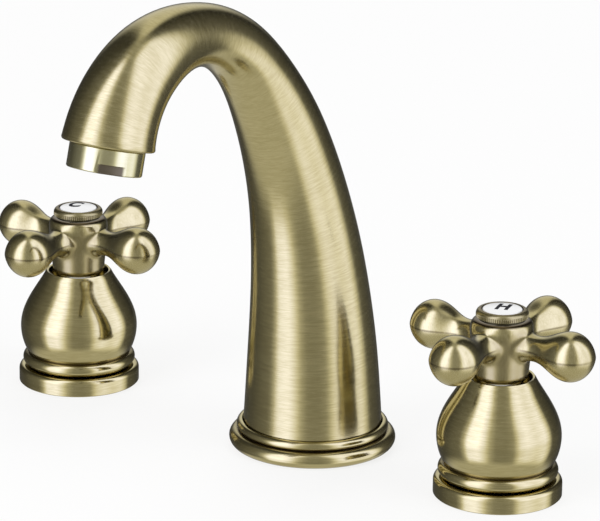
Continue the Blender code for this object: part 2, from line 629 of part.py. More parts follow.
def spindle(shop, prefix, parent):
    """Stem with the drive bar at its foot and the toothed end in the handle."""
    seal_top = GLAND_TOP - RING_SEAL_DROP
    seal_low = seal_top - RING_SEAL_SECTION
    seal_bottom = SPINDLE_RADIUS - RING_SEAL_DEPTH - GAP
    clip_bottom = SPINDLE_RADIUS - CLIP_GROOVE_DEPTH
    clip_top = CLIP_FOOT + CLIP_THICKNESS + GAP
    spline_foot = SPINDLE_TOP - SPLINE_LENGTH
    neck = SPINDLE_RADIUS - SPLINE_TOOTH - GAP
    bar_middle = DRIVE_BAR_FOOT + DRIVE_BAR_HEIGHT / 2
    outline = [
        (0.0, spline_foot + 2 * OVERRUN), (neck, spline_foot + 2 * OVERRUN), (neck, spline_foot),
        (SPINDLE_RADIUS, spline_foot), (SPINDLE_RADIUS, clip_top), (clip_bottom, clip_top),
        (clip_bottom, CLIP_FOOT - GAP), (SPINDLE_RADIUS, CLIP_FOOT - GAP),
        (SPINDLE_RADIUS, seal_top + GAP), (seal_bottom, seal_top + GAP),
        (seal_bottom, seal_low - GAP), (SPINDLE_RADIUS, seal_low - GAP),
        (SPINDLE_RADIUS, bar_middle), (0.0, bar_middle)]
    stem = turned(prefix + "spindle", outline, FINE_SIDES, hollow=False)
    bar_size = (DRIVE_BAR_LENGTH, DRIVE_BAR_WIDTH, DRIVE_BAR_HEIGHT)
    bar = block(prefix + "drive_bar", bar_size, (0.0, 0.0, bar_middle))
    teeth_outline = spline_outline(SPINDLE_RADIUS)
    teeth = plate(prefix + "spindle_teeth", teeth_outline, spline_foot + OVERRUN, SPINDLE_TOP)
    hole_depth = SCREW_LENGTH - HUB_WEB + GAP
    hole = rod(prefix + "spindle_hole", SCREW_BORE, hole_depth + OVERRUN, FINE_SIDES)
    hole.data.transform(Matrix.Translation((0.0, 0.0, SPINDLE_TOP - hole_depth)))
    shop.join(stem, bar)
    shop.join(stem, teeth)
    shop.cut(stem, hole)
    shop.place(stem, "raw_brass", parent)
    for tool in (bar, teeth, hole):
        tool.parent = parent
    ring_inner = seal_bottom + GAP
    ring_middle = (ring_inner + SPINDLE_RADIUS) / 2
    ease = RING_SEAL_SECTION / 4
    seal = [(ring_inner, seal_top - ease), (ring_middle, seal_top), (SPINDLE_RADIUS, seal_top - ease),
            (SPINDLE_RADIUS, seal_low + ease), (ring_middle, seal_low), (ring_inner, seal_low + ease)]
    shop.place(turned(prefix + "spindle_seal_ring", seal, FINE_SIDES), "rubber", parent)
    clip_outline = sector_outline(clip_bottom + GAP, CLIP_RADIUS, 0.0, 360.0 - CLIP_MOUTH_ANGLE, 8)
    clip = plate(prefix + "spindle_clip", clip_outline, CLIP_FOOT, CLIP_FOOT + CLIP_THICKNESS)
    shop.place(clip, "steel", parent)


def arm_outline():
    """One arm seen from its tip: radius against distance from the handle's axis."""
    tip = arc(0.0, LOBE_CENTRE, LOBE_RADIUS, 90.0, 0.0, ARM_TIP_STEPS)
    points = [(0.0, LOBE_CENTRE + LOBE_RADIUS)] + tip[1:]
    for step in range(1, ARM_FLARE_STEPS + 1):
        share = 1.0 - step / ARM_FLARE_STEPS
        swell = math.sin(share * math.pi / 2) ** 2
        points.append((ARM_NECK_RADIUS + (LOBE_RADIUS - ARM_NECK_RADIUS) * swell,
                       ARM_NECK + (LOBE_CENTRE - ARM_NECK) * share))
    for step in range(1, ARM_NECK_STEPS + 1):
        share = step / ARM_NECK_STEPS
        points.append((ARM_NECK_RADIUS + (ARM_ROOT_RADIUS - ARM_NECK_RADIUS) * share ** 2,
                       ARM_NECK + (ARM_ROOT - ARM_NECK) * share))
    return points + [(0.0, ARM_ROOT)]


def cross_handle(shop, prefix, parent):
    """Hub broached for the spindle, with four arms that swell into egg-shaped lobes."""
    recess = SPIGOT_RADIUS + GAP
    recess_floor = HUB_TOP + GAP - SPIGOT_LENGTH - 2 * GAP
    socket_top = HUB_BOTTOM + HUB_SOCKET_DEPTH
    rise = HUB_TOP - HUB_SHOULDER_HEIGHT
    crown = HUB_SHOULDER_RADIUS - recess - 2 * GAP
    outline = [(recess, HUB_TOP)]
    for step in range(HUB_CROWN_STEPS + 1):
        angle = step / HUB_CROWN_STEPS * math.pi / 2
        outline.append((HUB_SHOULDER_RADIUS - crown + crown * math.sin(angle),
                        HUB_SHOULDER_HEIGHT + rise * math.cos(angle)))
    outline.append((HUB_WAIST_RADIUS, (HUB_SHOULDER_HEIGHT + HUB_BOTTOM) / 2))
    round_centre = HUB_FOOT_RADIUS - HUB_FOOT_ROUND
    outline += arc(round_centre, HUB_BOTTOM + HUB_FOOT_ROUND, HUB_FOOT_ROUND, 0.0, -90.0, HUB_FOOT_STEPS)
    outline += [
        (HUB_SOCKET_RADIUS, HUB_BOTTOM), (HUB_SOCKET_RADIUS, socket_top), (SCREW_BORE, socket_top),
        (SCREW_BORE, HUB_WEB_TOP), (SCREW_CHAMBER_RADIUS, HUB_WEB_TOP),
        (SCREW_CHAMBER_RADIUS, recess_floor), (recess, recess_floor)]
    handle = turned(prefix + "cross_handle", outline, BODY_SIDES)
    profile = arm_outline()
    for index in range(ARM_COUNT):
        arm = turned(prefix + "arm", profile, FINE_SIDES, hollow=False)
        arm.rotation_euler = (0.0, math.pi / 2, math.tau * index / ARM_COUNT)
        arm.location = (0.0, 0.0, ARM_HEIGHT)
        arm.parent = parent
        shop.join(handle, arm)
    broach = plate(prefix + "broach", spline_outline(SPINDLE_RADIUS + GAP), socket_top - OVERRUN,
                   HUB_WEB_TOP - HUB_WEB)
    broach.parent = parent
    shop.cut(handle, broach)
    shop.place(handle, "antique_brass", parent)


def handle_top(shop, prefix, parent):
    """Screw down the middle of the handle, and the ring and button that cover it."""
    head_top = SCREW_SEAT + SCREW_HEAD_HEIGHT
    outline = [
        (0.0, head_top), (SCREW_HEAD_RADIUS - SCREW_HEAD_EDGE, head_top),
        (SCREW_HEAD_RADIUS, head_top - SCREW_HEAD_EDGE), (SCREW_HEAD_RADIUS, SCREW_SEAT),
        (SCREW_RADIUS, SCREW_SEAT), (SCREW_RADIUS, SCREW_SEAT - SCREW_LENGTH),
        (0.0, SCREW_SEAT - SCREW_LENGTH)]
    screw = turned(prefix + "handle_screw", outline, FINE_SIDES, hollow=False)
    key = rod(prefix + "screw_socket", SCREW_SOCKET_RADIUS, SCREW_SOCKET_DEPTH + OVERRUN, NUT_SIDES)
    key.data.transform(Matrix.Translation((0.0, 0.0, head_top - SCREW_SOCKET_DEPTH)))
    key.parent = parent
    shop.cut(screw, key)
    shop.place(screw, "steel", parent)
    foot = HUB_TOP + GAP
    top = foot + INDEX_HEIGHT
    seat = top - BUTTON_THICKNESS - GAP
    ring = [
        (BUTTON_RADIUS + GAP, top), (INDEX_RADIUS - INDEX_TOP_EDGE, top),
        (INDEX_RADIUS, top - INDEX_TOP_EDGE), (INDEX_RADIUS, foot + INDEX_FOOT_EDGE),
        (INDEX_RADIUS - INDEX_FOOT_EDGE, foot), (SPIGOT_RADIUS, foot),
        (SPIGOT_RADIUS, foot - SPIGOT_LENGTH), (BUTTON_STEM_RADIUS + GAP, foot - SPIGOT_LENGTH),
        (BUTTON_STEM_RADIUS + GAP, seat), (BUTTON_RADIUS + GAP, seat)]
    shop.place(turned(prefix + "index_ring", ring, BODY_SIDES), "polished_brass", parent)
    button = [
        (0.0, top + BUTTON_DOME), (BUTTON_RADIUS / 2, top + BUTTON_DOME * 3 / 4),
        (BUTTON_RADIUS - BUTTON_EDGE, top), (BUTTON_RADIUS, top - BUTTON_EDGE),
        (BUTTON_RADIUS, seat + GAP), (BUTTON_STEM_RADIUS, seat + GAP),
        (BUTTON_STEM_RADIUS, seat + GAP - BUTTON_STEM_LENGTH), (0.0, seat + GAP - BUTTON_STEM_LENGTH)]
    shop.place(turned(prefix + "index_button", button, BODY_SIDES, hollow=False), "porcelain", parent)


def valve(shop, side, offset, outlet_angle):
    """One side valve, with its turning pieces under an empty on the valve's axis."""
    prefix = side + "_"
    stand = bpy.data.objects.new(prefix + "valve_axis", None)
    shop.parts.objects.link(stand)
    stand.location = (offset, 0.0, 0.0)
    turning = bpy.data.objects.new(prefix + "handle_axis", None)
    shop.parts.objects.link(turning)
    turning.parent = stand
    base_flange(shop, prefix, stand)
    bell_cover(shop, prefix, stand)
    valve_body(shop, prefix, stand, outlet_angle)
    under_deck_fixings(shop, prefix, THREE_QUARTER_RADIUS, VALVE_WASHER_RADIUS, VALVE_NUT_FLATS, stand)
    headwork(shop, prefix, stand)
    ceramic_stack(shop, prefix, stand, turning)
    spindle(shop, prefix, turning)
    cross_handle(shop, prefix, turning)
    handle_top(shop, prefix, turning)


def smooth_value(values, share):
    """Catmull-Rom value at a share of the way through equally spaced values."""
    last = len(values) - 1
    place = min(max(share, 0.0), 1.0) * last
    index = min(int(place), last - 1)
    t = place - index
    b, c = values[index], values[index + 1]
    a = values[index - 1] if index > 0 else 2 * b - c
    d = values[index + 2] if index + 2 <= last else 2 * c - b
    return 0.5 * (2 * b + (c - a) * t + (2 * a - 5 * b + 4 * c - d) * t ** 2
                  + (3 * b - a - 3 * c + d) * t ** 3)


def spout_stations(rings):
    """Centre, direction and radius at equal steps along the gooseneck, from foot to outlet."""
    fine = (rings - 1) * SPOUT_FINE_STEPS
    step = SPOUT_LENGTH / fine
    centre = Vector((0.0, 0.0, SPOUT_STRAIGHT_TOP))
    stations = []
    for i in range(fine + 1):
        heading = math.radians(smooth_value(SPOUT_HEADINGS, i / fine))
        direction = Vector((0.0, -math.sin(heading), math.cos(heading)))
        if i % SPOUT_FINE_STEPS == 0:
            radius = SPOUT_FOOT_RADIUS * smooth_value(SPOUT_TAPER, i / fine)
            stations.append((centre.copy(), direction, radius))
        middle = math.radians(smooth_value(SPOUT_HEADINGS, (i + 0.5) / fine))
        centre += step * Vector((0.0, -math.sin(middle), math.cos(middle)))
    return stations


def swept(name, rings, sides):
    """A tube along (centre, radius) rings, as a curve with a round bevel and filled caps."""
    curve = bpy.data.curves.new(name, 'CURVE')
    curve.dimensions = '3D'
    curve.twist_mode = 'MINIMUM'
    widest = max(radius for _, radius in rings)
    curve.bevel_depth = widest
    curve.bevel_resolution = (sides - 4) // 2
    curve.use_fill_caps = True
    spline = curve.splines.new('POLY')
    spline.points.add(len(rings) - 1)
    for point, (centre, radius) in zip(spline.points, rings):
        point.co = (*centre, 1.0)
        point.radius = radius / widest
    return mesh_from_curve(name, curve)


def spout_body(shop):
    """Hollow cast gooseneck, tapped for the shank in its foot and for the aerator in its mouth."""
    stations = spout_stations(SPOUT_RINGS)
    mouth, outward, mouth_radius = stations[-1]
    inward = -outward
    foot = (Vector((0.0, 0.0, SPOUT_FOOT)), SPOUT_FOOT_RADIUS)
    neck = [(centre, radius) for centre, _, radius in stations[:-1]]
    lip = [(mouth + inward * SPOUT_LIP, mouth_radius), (mouth + inward * SPOUT_EDGE, mouth_radius),
           (mouth, mouth_radius - SPOUT_EDGE)]
    body = swept("spout_body", [foot] + neck + lip, BODY_SIDES)
    bore_end = AERATOR_THREAD_RADIUS + GAP - SPOUT_LIP
    floor = SPOUT_FOOT + SPOUT_FOOT_WEB
    bore = []
    for centre, _, radius in spout_stations(SPOUT_BORE_RINGS):
        to_mouth = (centre - mouth).length
        if centre.z > floor + SPOUT_WALL or centre.y < -SPOUT_FOOT_RADIUS:
            if to_mouth > AERATOR_SEAT + SPOUT_WALL:
                bore.append((centre, radius - SPOUT_WALL))
    start = (Vector((0.0, 0.0, floor)), SPOUT_FOOT_RADIUS - SPOUT_WALL)
    ends = [(mouth + inward * (AERATOR_SEAT + OVERRUN), bore_end), (mouth + outward * OVERRUN, bore_end)]
    cavity = swept("spout_cavity", [start] + bore + ends, SMALL_SIDES)
    shop.cut(body, cavity)
    tap = rod("spout_mouth_tap", AERATOR_THREAD_RADIUS + GAP, AERATOR_SEAT + OVERRUN, BODY_SIDES)
    tap.matrix_world = outlet_frame(mouth, outward) @ Matrix.Translation((0.0, 0.0, -OVERRUN))
    shop.cut(body, tap)
    drill = rod("spout_foot_tap", HALF_INCH_BORE, SPOUT_FOOT_WEB + 2 * OVERRUN, SMALL_SIDES)
    drill.location = (0.0, 0.0, SPOUT_FOOT - OVERRUN)
    shop.cut(body, drill)
    shop.place(body, "antique_brass")
    return mouth, outward


def outlet_frame(mouth, outward):
    """Frame at the mouth whose +Z points back up the spout."""
    turn = Vector((0.0, 0.0, 1.0)).rotation_difference(-outward).to_matrix().to_4x4()
    return Matrix.Translation(mouth) @ turn


def spout_base_ring(shop):
    bore = SPOUT_FOOT_RADIUS + GAP
    seal_outer = RING_SEAL_OUTER
    seal_inner = RING_SEAL_OUTER - RING_SEAL_WIDTH
    lower_top = math.degrees(math.acos((RING_UPPER_CENTRE + RING_UPPER_SECTION - RING_LOWER_CENTRE)
                                       / RING_LOWER_SECTION))
    lower_foot = -math.degrees(math.asin(RING_LOWER_HEIGHT / RING_LOWER_SECTION))
    outline = [(bore, RING_HEIGHT)]
    outline += arc(RING_UPPER_CENTRE, RING_HEIGHT - RING_UPPER_SECTION, RING_UPPER_SECTION, 90.0, -45.0,
                   RING_BEAD_STEPS)
    outline += arc(RING_LOWER_CENTRE, RING_LOWER_HEIGHT, RING_LOWER_SECTION, lower_top, lower_foot,
                   RING_BEAD_STEPS)
    outline += [
        (seal_outer, 0.0), (seal_outer, SEAL_GROOVE_DEPTH), (seal_inner, SEAL_GROOVE_DEPTH),
        (seal_inner, 0.0), (HALF_INCH_BORE, 0.0), (HALF_INCH_BORE, RING_LEDGE), (bore, RING_LEDGE)]
    shop.place(turned("spout_base_ring", outline, WIDE_SIDES), "antique_brass")
    gasket = ring_outline(seal_inner + GAP, seal_outer - GAP, 0.0, SEAL_HEIGHT)
    shop.place(turned("spout_gasket", gasket, WIDE_SIDES), "rubber")


def spout_shank(shop):
    outline = [
        (SHANK_BORE, SHANK_TOP), (HALF_INCH_RADIUS - THREAD_CHAMFER, SHANK_TOP),
        (HALF_INCH_RADIUS, SHANK_TOP - THREAD_CHAMFER), (HALF_INCH_RADIUS, SHANK_BOTTOM + THREAD_CHAMFER),
        (HALF_INCH_RADIUS - THREAD_CHAMFER, SHANK_BOTTOM), (SHANK_BORE, SHANK_BOTTOM)]
    shop.place(turned("spout_shank", outline, SMALL_SIDES), "raw_brass")
    under_deck_fixings(shop, "spout_", HALF_INCH_RADIUS, SPOUT_WASHER_RADIUS, SPOUT_NUT_FLATS)


def tee_connector(shop):
    """Tee on the end of the shank that takes the pipes from both valves."""
    top = TEE_SOCKET_FLOOR + TEE_SOCKET_DEPTH
    bottom = TEE_SOCKET_FLOOR - TEE_BODY_LENGTH
    outline = [
        (HALF_INCH_BORE, top), (TEE_RADIUS - TEE_CHAMFER, top), (TEE_RADIUS, top - TEE_CHAMFER),
        (TEE_RADIUS, bottom + TEE_CHAMFER), (TEE_RADIUS - TEE_CHAMFER, bottom), (0.0, bottom)]
    inside = [(0.0, OUTLET_HEIGHT), (SHANK_BORE, OUTLET_HEIGHT), (SHANK_BORE, TEE_SOCKET_FLOOR),
              (HALF_INCH_BORE, TEE_SOCKET_FLOOR)]
    tee = turned("tee_connector", inside + outline, SMALL_SIDES, hollow=False)
    quarter_turn = Matrix.Rotation(math.pi / 2, 4, 'Y')
    start = (SHANK_BORE + TEE_RADIUS) / 2
    for label, turn in (("left", math.pi), ("right", 0.0)):
        port = rod("tee_" + label + "_port", THREE_EIGHTH_RADIUS, TEE_HALF_SPAN - start, SMALL_SIDES)
        port.data.transform(Matrix.Translation((start, 0.0, OUTLET_HEIGHT)) @ quarter_turn)
        port.rotation_euler = (0.0, 0.0, turn)
        shop.join(tee, port)
    drill_length = 2 * TEE_HALF_SPAN + 2 * OVERRUN
    drill = rod("tee_drill", PORT_BORE, drill_length, SMALL_SIDES)
    drill.data.transform(Matrix.Translation((-drill_length / 2, 0.0, OUTLET_HEIGHT)) @ quarter_turn)
    shop.cut(tee, drill)
    shop.place(tee, "raw_brass")


def pipe_nut(shop, name, port_end, turn, parent):
    """Nut over the end of a threaded port; before its turn about X, +Z points out of the port."""
    shoulder = GAP + OLIVE_LENGTH + GAP
    low, top = -PIPE_NUT_GRIP, shoulder + PIPE_NUT_WEB
    nut = hex_solid(name, PIPE_NUT_FLATS, low, top)
    thread_bore = THREE_EIGHTH_RADIUS + GAP
    steps = [(0.0, top + OVERRUN), (PORT_BORE, top + OVERRUN), (PORT_BORE, shoulder),
             (thread_bore, shoulder), (thread_bore, low - OVERRUN), (0.0, low - OVERRUN)]
    bore = turned(name + "_bore", steps, SMALL_SIDES, hollow=False)
    shop.cut(nut, bore)
    shop.place(nut, "raw_brass")
    for obj in (nut, bore):
        obj.parent = parent
        obj.location = (0.0, 0.0, port_end)
        obj.rotation_euler = (turn, 0.0, 0.0)


def connecting_pipe(shop, side, offset, way):
    """Straight tube from the tee out to a valve, with its olives pressed on and its two nuts."""
    prefix = side + "_"
    line = bpy.data.objects.new(prefix + "pipe_axis", None)
    shop.parts.objects.link(line)
    line.location = (0.0, 0.0, OUTLET_HEIGHT)
    line.rotation_euler = (0.0, way * math.pi / 2, 0.0)
    valve_port = offset - OUTLET_LENGTH
    low = TEE_HALF_SPAN - PIPE_INSERT
    high = valve_port + PIPE_INSERT
    outline = [(PIPE_RADIUS, high)]
    for olive_top in (valve_port - GAP, TEE_HALF_SPAN + GAP + OLIVE_LENGTH):
        olive_foot = olive_top - OLIVE_LENGTH
        outline += [(PIPE_RADIUS, olive_top), (OLIVE_RADIUS, olive_top - OLIVE_TAPER),
                    (OLIVE_RADIUS, olive_foot + OLIVE_TAPER), (PIPE_RADIUS, olive_foot)]
    outline += [(PIPE_RADIUS, low), (PIPE_RADIUS - PIPE_WALL, low), (PIPE_RADIUS - PIPE_WALL, high)]
    shop.place(turned(prefix + "connecting_pipe", outline, FINE_SIDES), "copper", line)
    pipe_nut(shop, prefix + "tee_nut", TEE_HALF_SPAN, 0.0, line)
    pipe_nut(shop, prefix + "outlet_nut", valve_port, math.pi, line)


def aerator(shop, mouth, outward):
    """Screwed housing with two spanner flats, and the washer, insert and screen it holds."""
    frame = outlet_frame(mouth, outward)
    stand = bpy.data.objects.new("aerator_axis", None)
    shop.parts.objects.link(stand)
    stand.matrix_world = frame
    low = -GAP - AERATOR_LENGTH
    housing_outline = [
        (AERATOR_BORE, AERATOR_THREAD_LENGTH), (AERATOR_THREAD_RADIUS, AERATOR_THREAD_LENGTH),
        (AERATOR_THREAD_RADIUS, -GAP), (AERATOR_RADIUS, -GAP), (AERATOR_RADIUS, low + AERATOR_EDGE),
        (AERATOR_RADIUS - AERATOR_EDGE, low), (AERATOR_LIP_BORE, low),
        (AERATOR_LIP_BORE, low + AERATOR_LIP), (AERATOR_BORE, low + AERATOR_LIP)]
    housing = turned("aerator_housing", housing_outline, BODY_SIDES)
    flat_size = (2 * AERATOR_FLAT_DEPTH, 2 * AERATOR_RADIUS, 2 * AERATOR_FLAT_HEIGHT)
    for turn in (0.0, math.pi):
        flat = block("aerator_flat_cutter", flat_size, (AERATOR_RADIUS, 0.0, low))
        flat.rotation_euler = (0.0, 0.0, math.radians(AERATOR_FLAT_ANGLE) + turn)
        flat.parent = stand
        shop.cut(housing, flat)
    shop.place(housing, "polished_brass", stand)
    washer = ring_outline(AERATOR_WASHER_BORE, AERATOR_THREAD_RADIUS, AERATOR_THREAD_LENGTH + GAP,
                          AERATOR_THREAD_LENGTH + GAP + AERATOR_WASHER_THICKNESS)
    shop.place(turned("aerator_washer", washer, SMALL_SIDES), "rubber", stand)
    inside = AERATOR_BORE - GAP
    screen_foot = low + AERATOR_LIP + GAP
    screen = rod("aerator_screen", inside, SCREEN_THICKNESS, SMALL_SIDES)
    screen.data.transform(Matrix.Translation((0.0, 0.0, screen_foot)))
    holes = bmesh.new()
    middle = (SCREEN_ROWS - 1) / 2
    for row in range(SCREEN_ROWS):
        for column in range(SCREEN_ROWS):
            centre = ((row - middle) * SCREEN_PITCH, (column - middle) * SCREEN_PITCH,
                      screen_foot + SCREEN_THICKNESS / 2)
            size = (SCREEN_HOLE, SCREEN_HOLE, 3 * SCREEN_THICKNESS, 1.0)
            place = Matrix.Translation(centre) @ Matrix.Diagonal(size)
            bmesh.ops.create_cube(holes, size=1.0, matrix=place)
    punch = finish_mesh("aerator_screen_punch", holes)
    punch.parent = stand
    shop.cut(screen, punch)
    shop.place(screen, "steel", stand)
    insert_foot = screen_foot + SCREEN_THICKNESS + GAP
    insert_top = AERATOR_THREAD_LENGTH
    plate_foot = insert_top - INSERT_PLATE
    insert_outline = [
        (0.0, insert_top), (inside, insert_top), (inside, insert_foot), (inside - INSERT_WALL, insert_foot),
        (inside - INSERT_WALL, plate_foot), (0.0, plate_foot)]
    insert = turned("aerator_insert", insert_outline, SMALL_SIDES, hollow=False)
    jets = bmesh.new()
    for index in range(INSERT_HOLES):
        x, y = polar(INSERT_HOLE_RING, 360.0 * index / INSERT_HOLES)
        place = Matrix.Translation((x, y, insert_top - INSERT_PLATE / 2))
        bmesh.ops.create_cone(jets, cap_ends=True, segments=NUT_SIDES, radius1=INSERT_HOLE_RADIUS,
                              radius2=INSERT_HOLE_RADIUS, depth=3 * INSERT_PLATE, matrix=place)
    nozzle = finish_mesh("aerator_jets", jets)
    nozzle.parent = stand
    shop.cut(insert, nozzle)
    shop.place(insert, "plastic", stand)


def shade_rounds(collection):
    """Smooth the curved faces and keep the turned edges crisp."""
    for obj in collection.objects:
        if obj.type == 'MESH' and obj.data.polygons:
            obj.data.shade_smooth()
            obj.data.set_sharp_from_angle(angle=math.radians(35.0))


def main():
    clear_scene()
    shop = Workshop()
    valve(shop, "left", -COLD_OFFSET, 0.0)
    valve(shop, "right", HOT_OFFSET, math.pi)
    mouth, outward = spout_body(shop)
    spout_base_ring(shop)
    spout_shank(shop)
    tee_connector(shop)
    connecting_pipe(shop, "left", COLD_OFFSET, -1)
    connecting_pipe(shop, "right", HOT_OFFSET, 1)
    aerator(shop, mouth, outward)
    shade_rounds(shop.parts)


main()
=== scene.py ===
import json
import math

import bpy
from mathutils import Matrix, Vector

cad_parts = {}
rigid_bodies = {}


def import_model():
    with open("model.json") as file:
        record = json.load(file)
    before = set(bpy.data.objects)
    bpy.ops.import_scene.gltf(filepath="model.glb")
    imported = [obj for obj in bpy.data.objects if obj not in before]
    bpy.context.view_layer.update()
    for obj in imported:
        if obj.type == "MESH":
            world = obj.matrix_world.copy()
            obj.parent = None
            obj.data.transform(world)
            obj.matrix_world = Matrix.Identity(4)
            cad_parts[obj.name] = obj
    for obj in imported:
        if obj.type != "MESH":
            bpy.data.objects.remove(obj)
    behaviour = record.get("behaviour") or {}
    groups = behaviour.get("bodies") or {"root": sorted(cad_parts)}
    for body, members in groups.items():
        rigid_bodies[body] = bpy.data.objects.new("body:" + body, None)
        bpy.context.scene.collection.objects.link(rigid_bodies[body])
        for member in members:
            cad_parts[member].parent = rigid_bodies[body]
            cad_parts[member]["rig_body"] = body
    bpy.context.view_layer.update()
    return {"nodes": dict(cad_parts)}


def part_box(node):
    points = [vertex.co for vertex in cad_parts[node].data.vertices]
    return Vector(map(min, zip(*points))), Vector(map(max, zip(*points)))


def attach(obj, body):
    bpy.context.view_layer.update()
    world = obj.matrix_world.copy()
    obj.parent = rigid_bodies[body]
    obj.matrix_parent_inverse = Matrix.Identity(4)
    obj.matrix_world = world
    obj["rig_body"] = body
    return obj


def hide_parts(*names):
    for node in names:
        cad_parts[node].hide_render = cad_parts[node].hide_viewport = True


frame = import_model()
mm = 0.001  # outlines and settings below are in millimetres

sides = {  # which valve carries which letter, and the body its handle is on
    "left": {"letter": "C", "handle": "left_handle"},
    "right": {"letter": "H", "handle": "right_handle"},
}
print("frame loaded,", len(frame["nodes"]), "nodes")


# Camera and studio, in degrees and metres. Azimuth runs from -Y towards +X.
view = {
    "azimuth": 37.66, "elevation": 17.35, "roll": 0.54, "distance": 1.4166, "lens": 225.39,
    "shift": (0.0471, -0.0012), "sideways": -0.01613, "height": 0.0727,
}
studio = {  # what polished metal sees, with walls by the angle round from the camera's own side
    "walls": ((-180, 0.12), (-152, 0.05), (-122, 0.09), (-98, 0.2), (-80, 0.26), (-71, 0.7),
              (-62, 2.2), (-42, 2.5), (-30, 1.7), (-20, 0.75), (-9, 0.42), (10, 0.4), (24, 0.52),
              (37, 1.7), (50, 2.0), (70, 1.7), (90, 1.9), (99, 1.4), (110, 0.15), (148, 0.04),
              (180, 0.12)),
    "brightest": 2.5, "wallsTop": 68, "ceilingFade": 0.3, "ceiling": 0.5, "ambient": 0.55,
    "tint": (0.95, 1.0, 1.55), "tinted": (0.9, 2.0), "horizon": (-12, -4), "tableShine": 0.8,
    "tableNear": 0.05, "tableBelow": -30, "tableFade": 0.25, "table": 0.7,
    "backdrop": {"azimuth": (150, 170), "height": (-0.05, 0.35), "level": 0.95},
}
lamps = {  # azimuth, elevation, distance, size and power
    "keyLamp": (-15, 38, 1.5, (0.9, 0.9), 9.0),
    "fillLamp": (98, 35, 1.5, (1.0, 0.9), 8.0),
    "backLamp": (217, 45, 1.6, (1.0, 0.7), 6.0),
}
paleFloor = {"radius": 3.0, "drop": 0.05 * mm, "pale": 0.86, "roughness": 0.9, "white": 0.8}


def heading(azimuth, elevation=0.0):
    a, e = math.radians(azimuth), math.radians(elevation)
    return Vector((math.sin(a) * math.cos(e), -math.cos(a) * math.cos(e), math.sin(e)))


class Wire:  # a node's output, so that shader maths reads as sums
    def __init__(self, finish, socket):
        self.finish, self.socket = finish, socket

    def maths(self, operation, *others):
        values = dict(enumerate((self, *others)))
        return self.finish.node("ShaderNodeMath", {"operation": operation}, values)

    def __add__(self, other):
        return self.maths("ADD", other)

    def __sub__(self, other):
        return self.maths("SUBTRACT", other)

    def __rsub__(self, other):
        return self.finish.node("ShaderNodeMath", {"operation": "SUBTRACT"}, {0: other, 1: self})

    def __mul__(self, other):
        return self.maths("MULTIPLY", other)

    def __truediv__(self, other):
        return self.maths("DIVIDE", other)

    __radd__, __rmul__ = __add__, __mul__


class Finish:  # one material or world and the nodes put into it
    def __init__(self, name=None, world=None):
        self.block = world or bpy.data.materials.new(name)
        self.block.use_nodes = True
        self.tree = self.block.node_tree
        self.shader = None if world else self.tree.nodes["Principled BSDF"]

    def node(self, kind, settings=None, inputs=None, output=0):
        made = self.tree.nodes.new(kind)
        for key, value in (settings or {}).items():
            if key == "stops":
                ramp = made.color_ramp.elements
                while len(ramp) < len(value):
                    ramp.new(0.5)
                for element, (place, colour) in zip(ramp, value):
                    element.position, element.color = place, colour
            else:
                setattr(made, key, value)
        for key, value in (inputs or {}).items():
            if isinstance(value, Wire):
                self.tree.links.new(value.socket, made.inputs[key])
            else:
                made.inputs[key].default_value = value
        return Wire(self, made.outputs[output]) if made.outputs else None

    def set(self, **values):  # fixed values and links on the Principled shader
        for key, value in values.items():
            socket = self.shader.inputs[key.replace("_", " ")]
            if isinstance(value, Wire):
                self.tree.links.new(value.socket, socket)
            else:
                socket.default_value = value
        return self.block

    def noise(self, place, scale, detail=2.0, rough=0.5):
        return self.node("ShaderNodeTexNoise", {}, {"Vector": place, "Scale": scale,
                                                    "Detail": detail, "Roughness": rough})

    def spread(self, value, low, high, toLow=0.0, toHigh=1.0):  # a soft step between two values
        return self.node("ShaderNodeMapRange", {"interpolation_type": "SMOOTHSTEP"},
                         {"Value": value, "From Min": low, "From Max": high,
                          "To Min": toLow, "To Max": toHigh})

    def between(self, place, span, toLow=0.0, toHigh=1.0):  # the same between two millimetre marks
        return self.spread(place, span[0] * mm, span[1] * mm, toLow, toHigh)

    def blend(self, share, first, second):
        return self.node("ShaderNodeMix", {"data_type": "RGBA"}, {0: share, 6: first, 7: second}, 2)

    def bump(self, height, strength, depth):
        return self.node("ShaderNodeBump", {}, {"Height": height, "Strength": strength,
                                                "Distance": depth * mm})

    def split(self, vector):
        parts = self.node("ShaderNodeSeparateXYZ", {}, {0: vector})
        return [Wire(self, parts.socket.node.outputs[i]) for i in range(3)]

    def join(self, x, y, z):
        return self.node("ShaderNodeCombineXYZ", {}, {0: x, 1: y, 2: z})

    def objectPlace(self):
        return self.node("ShaderNodeTexCoord", {}, {}, "Object")

    def lathePlace(self):  # place round the piece's own turning axis, kept when it was turned
        return self.node("ShaderNodeAttribute", {"attribute_name": "lathe"}, {}, "Vector")

    def fromAxis(self):  # how far out from that axis a point is, and how high along it
        x, y, z = self.split(self.lathePlace())
        return (x * x + y * y).maths("SQRT"), z


def grey(level):
    return (level, level, level, 1.0)


def placeCamera():
    back = heading(view["azimuth"], view["elevation"])
    side = heading(view["azimuth"] + 90)
    target = side * view["sideways"] + Vector((0, 0, view["height"]))
    bpy.ops.object.camera_add(location=target + back * view["distance"])
    camera = bpy.context.object
    camera.name = "camera"
    upright = (-back).to_track_quat('-Z', 'Y')
    roll = Matrix.Rotation(math.radians(view["roll"]), 3, back)
    camera.rotation_euler = (roll @ upright.to_matrix()).to_euler()
    camera.data.lens = view["lens"]
    camera.data.shift_x, camera.data.shift_y = view["shift"]
    bpy.context.scene.camera = camera


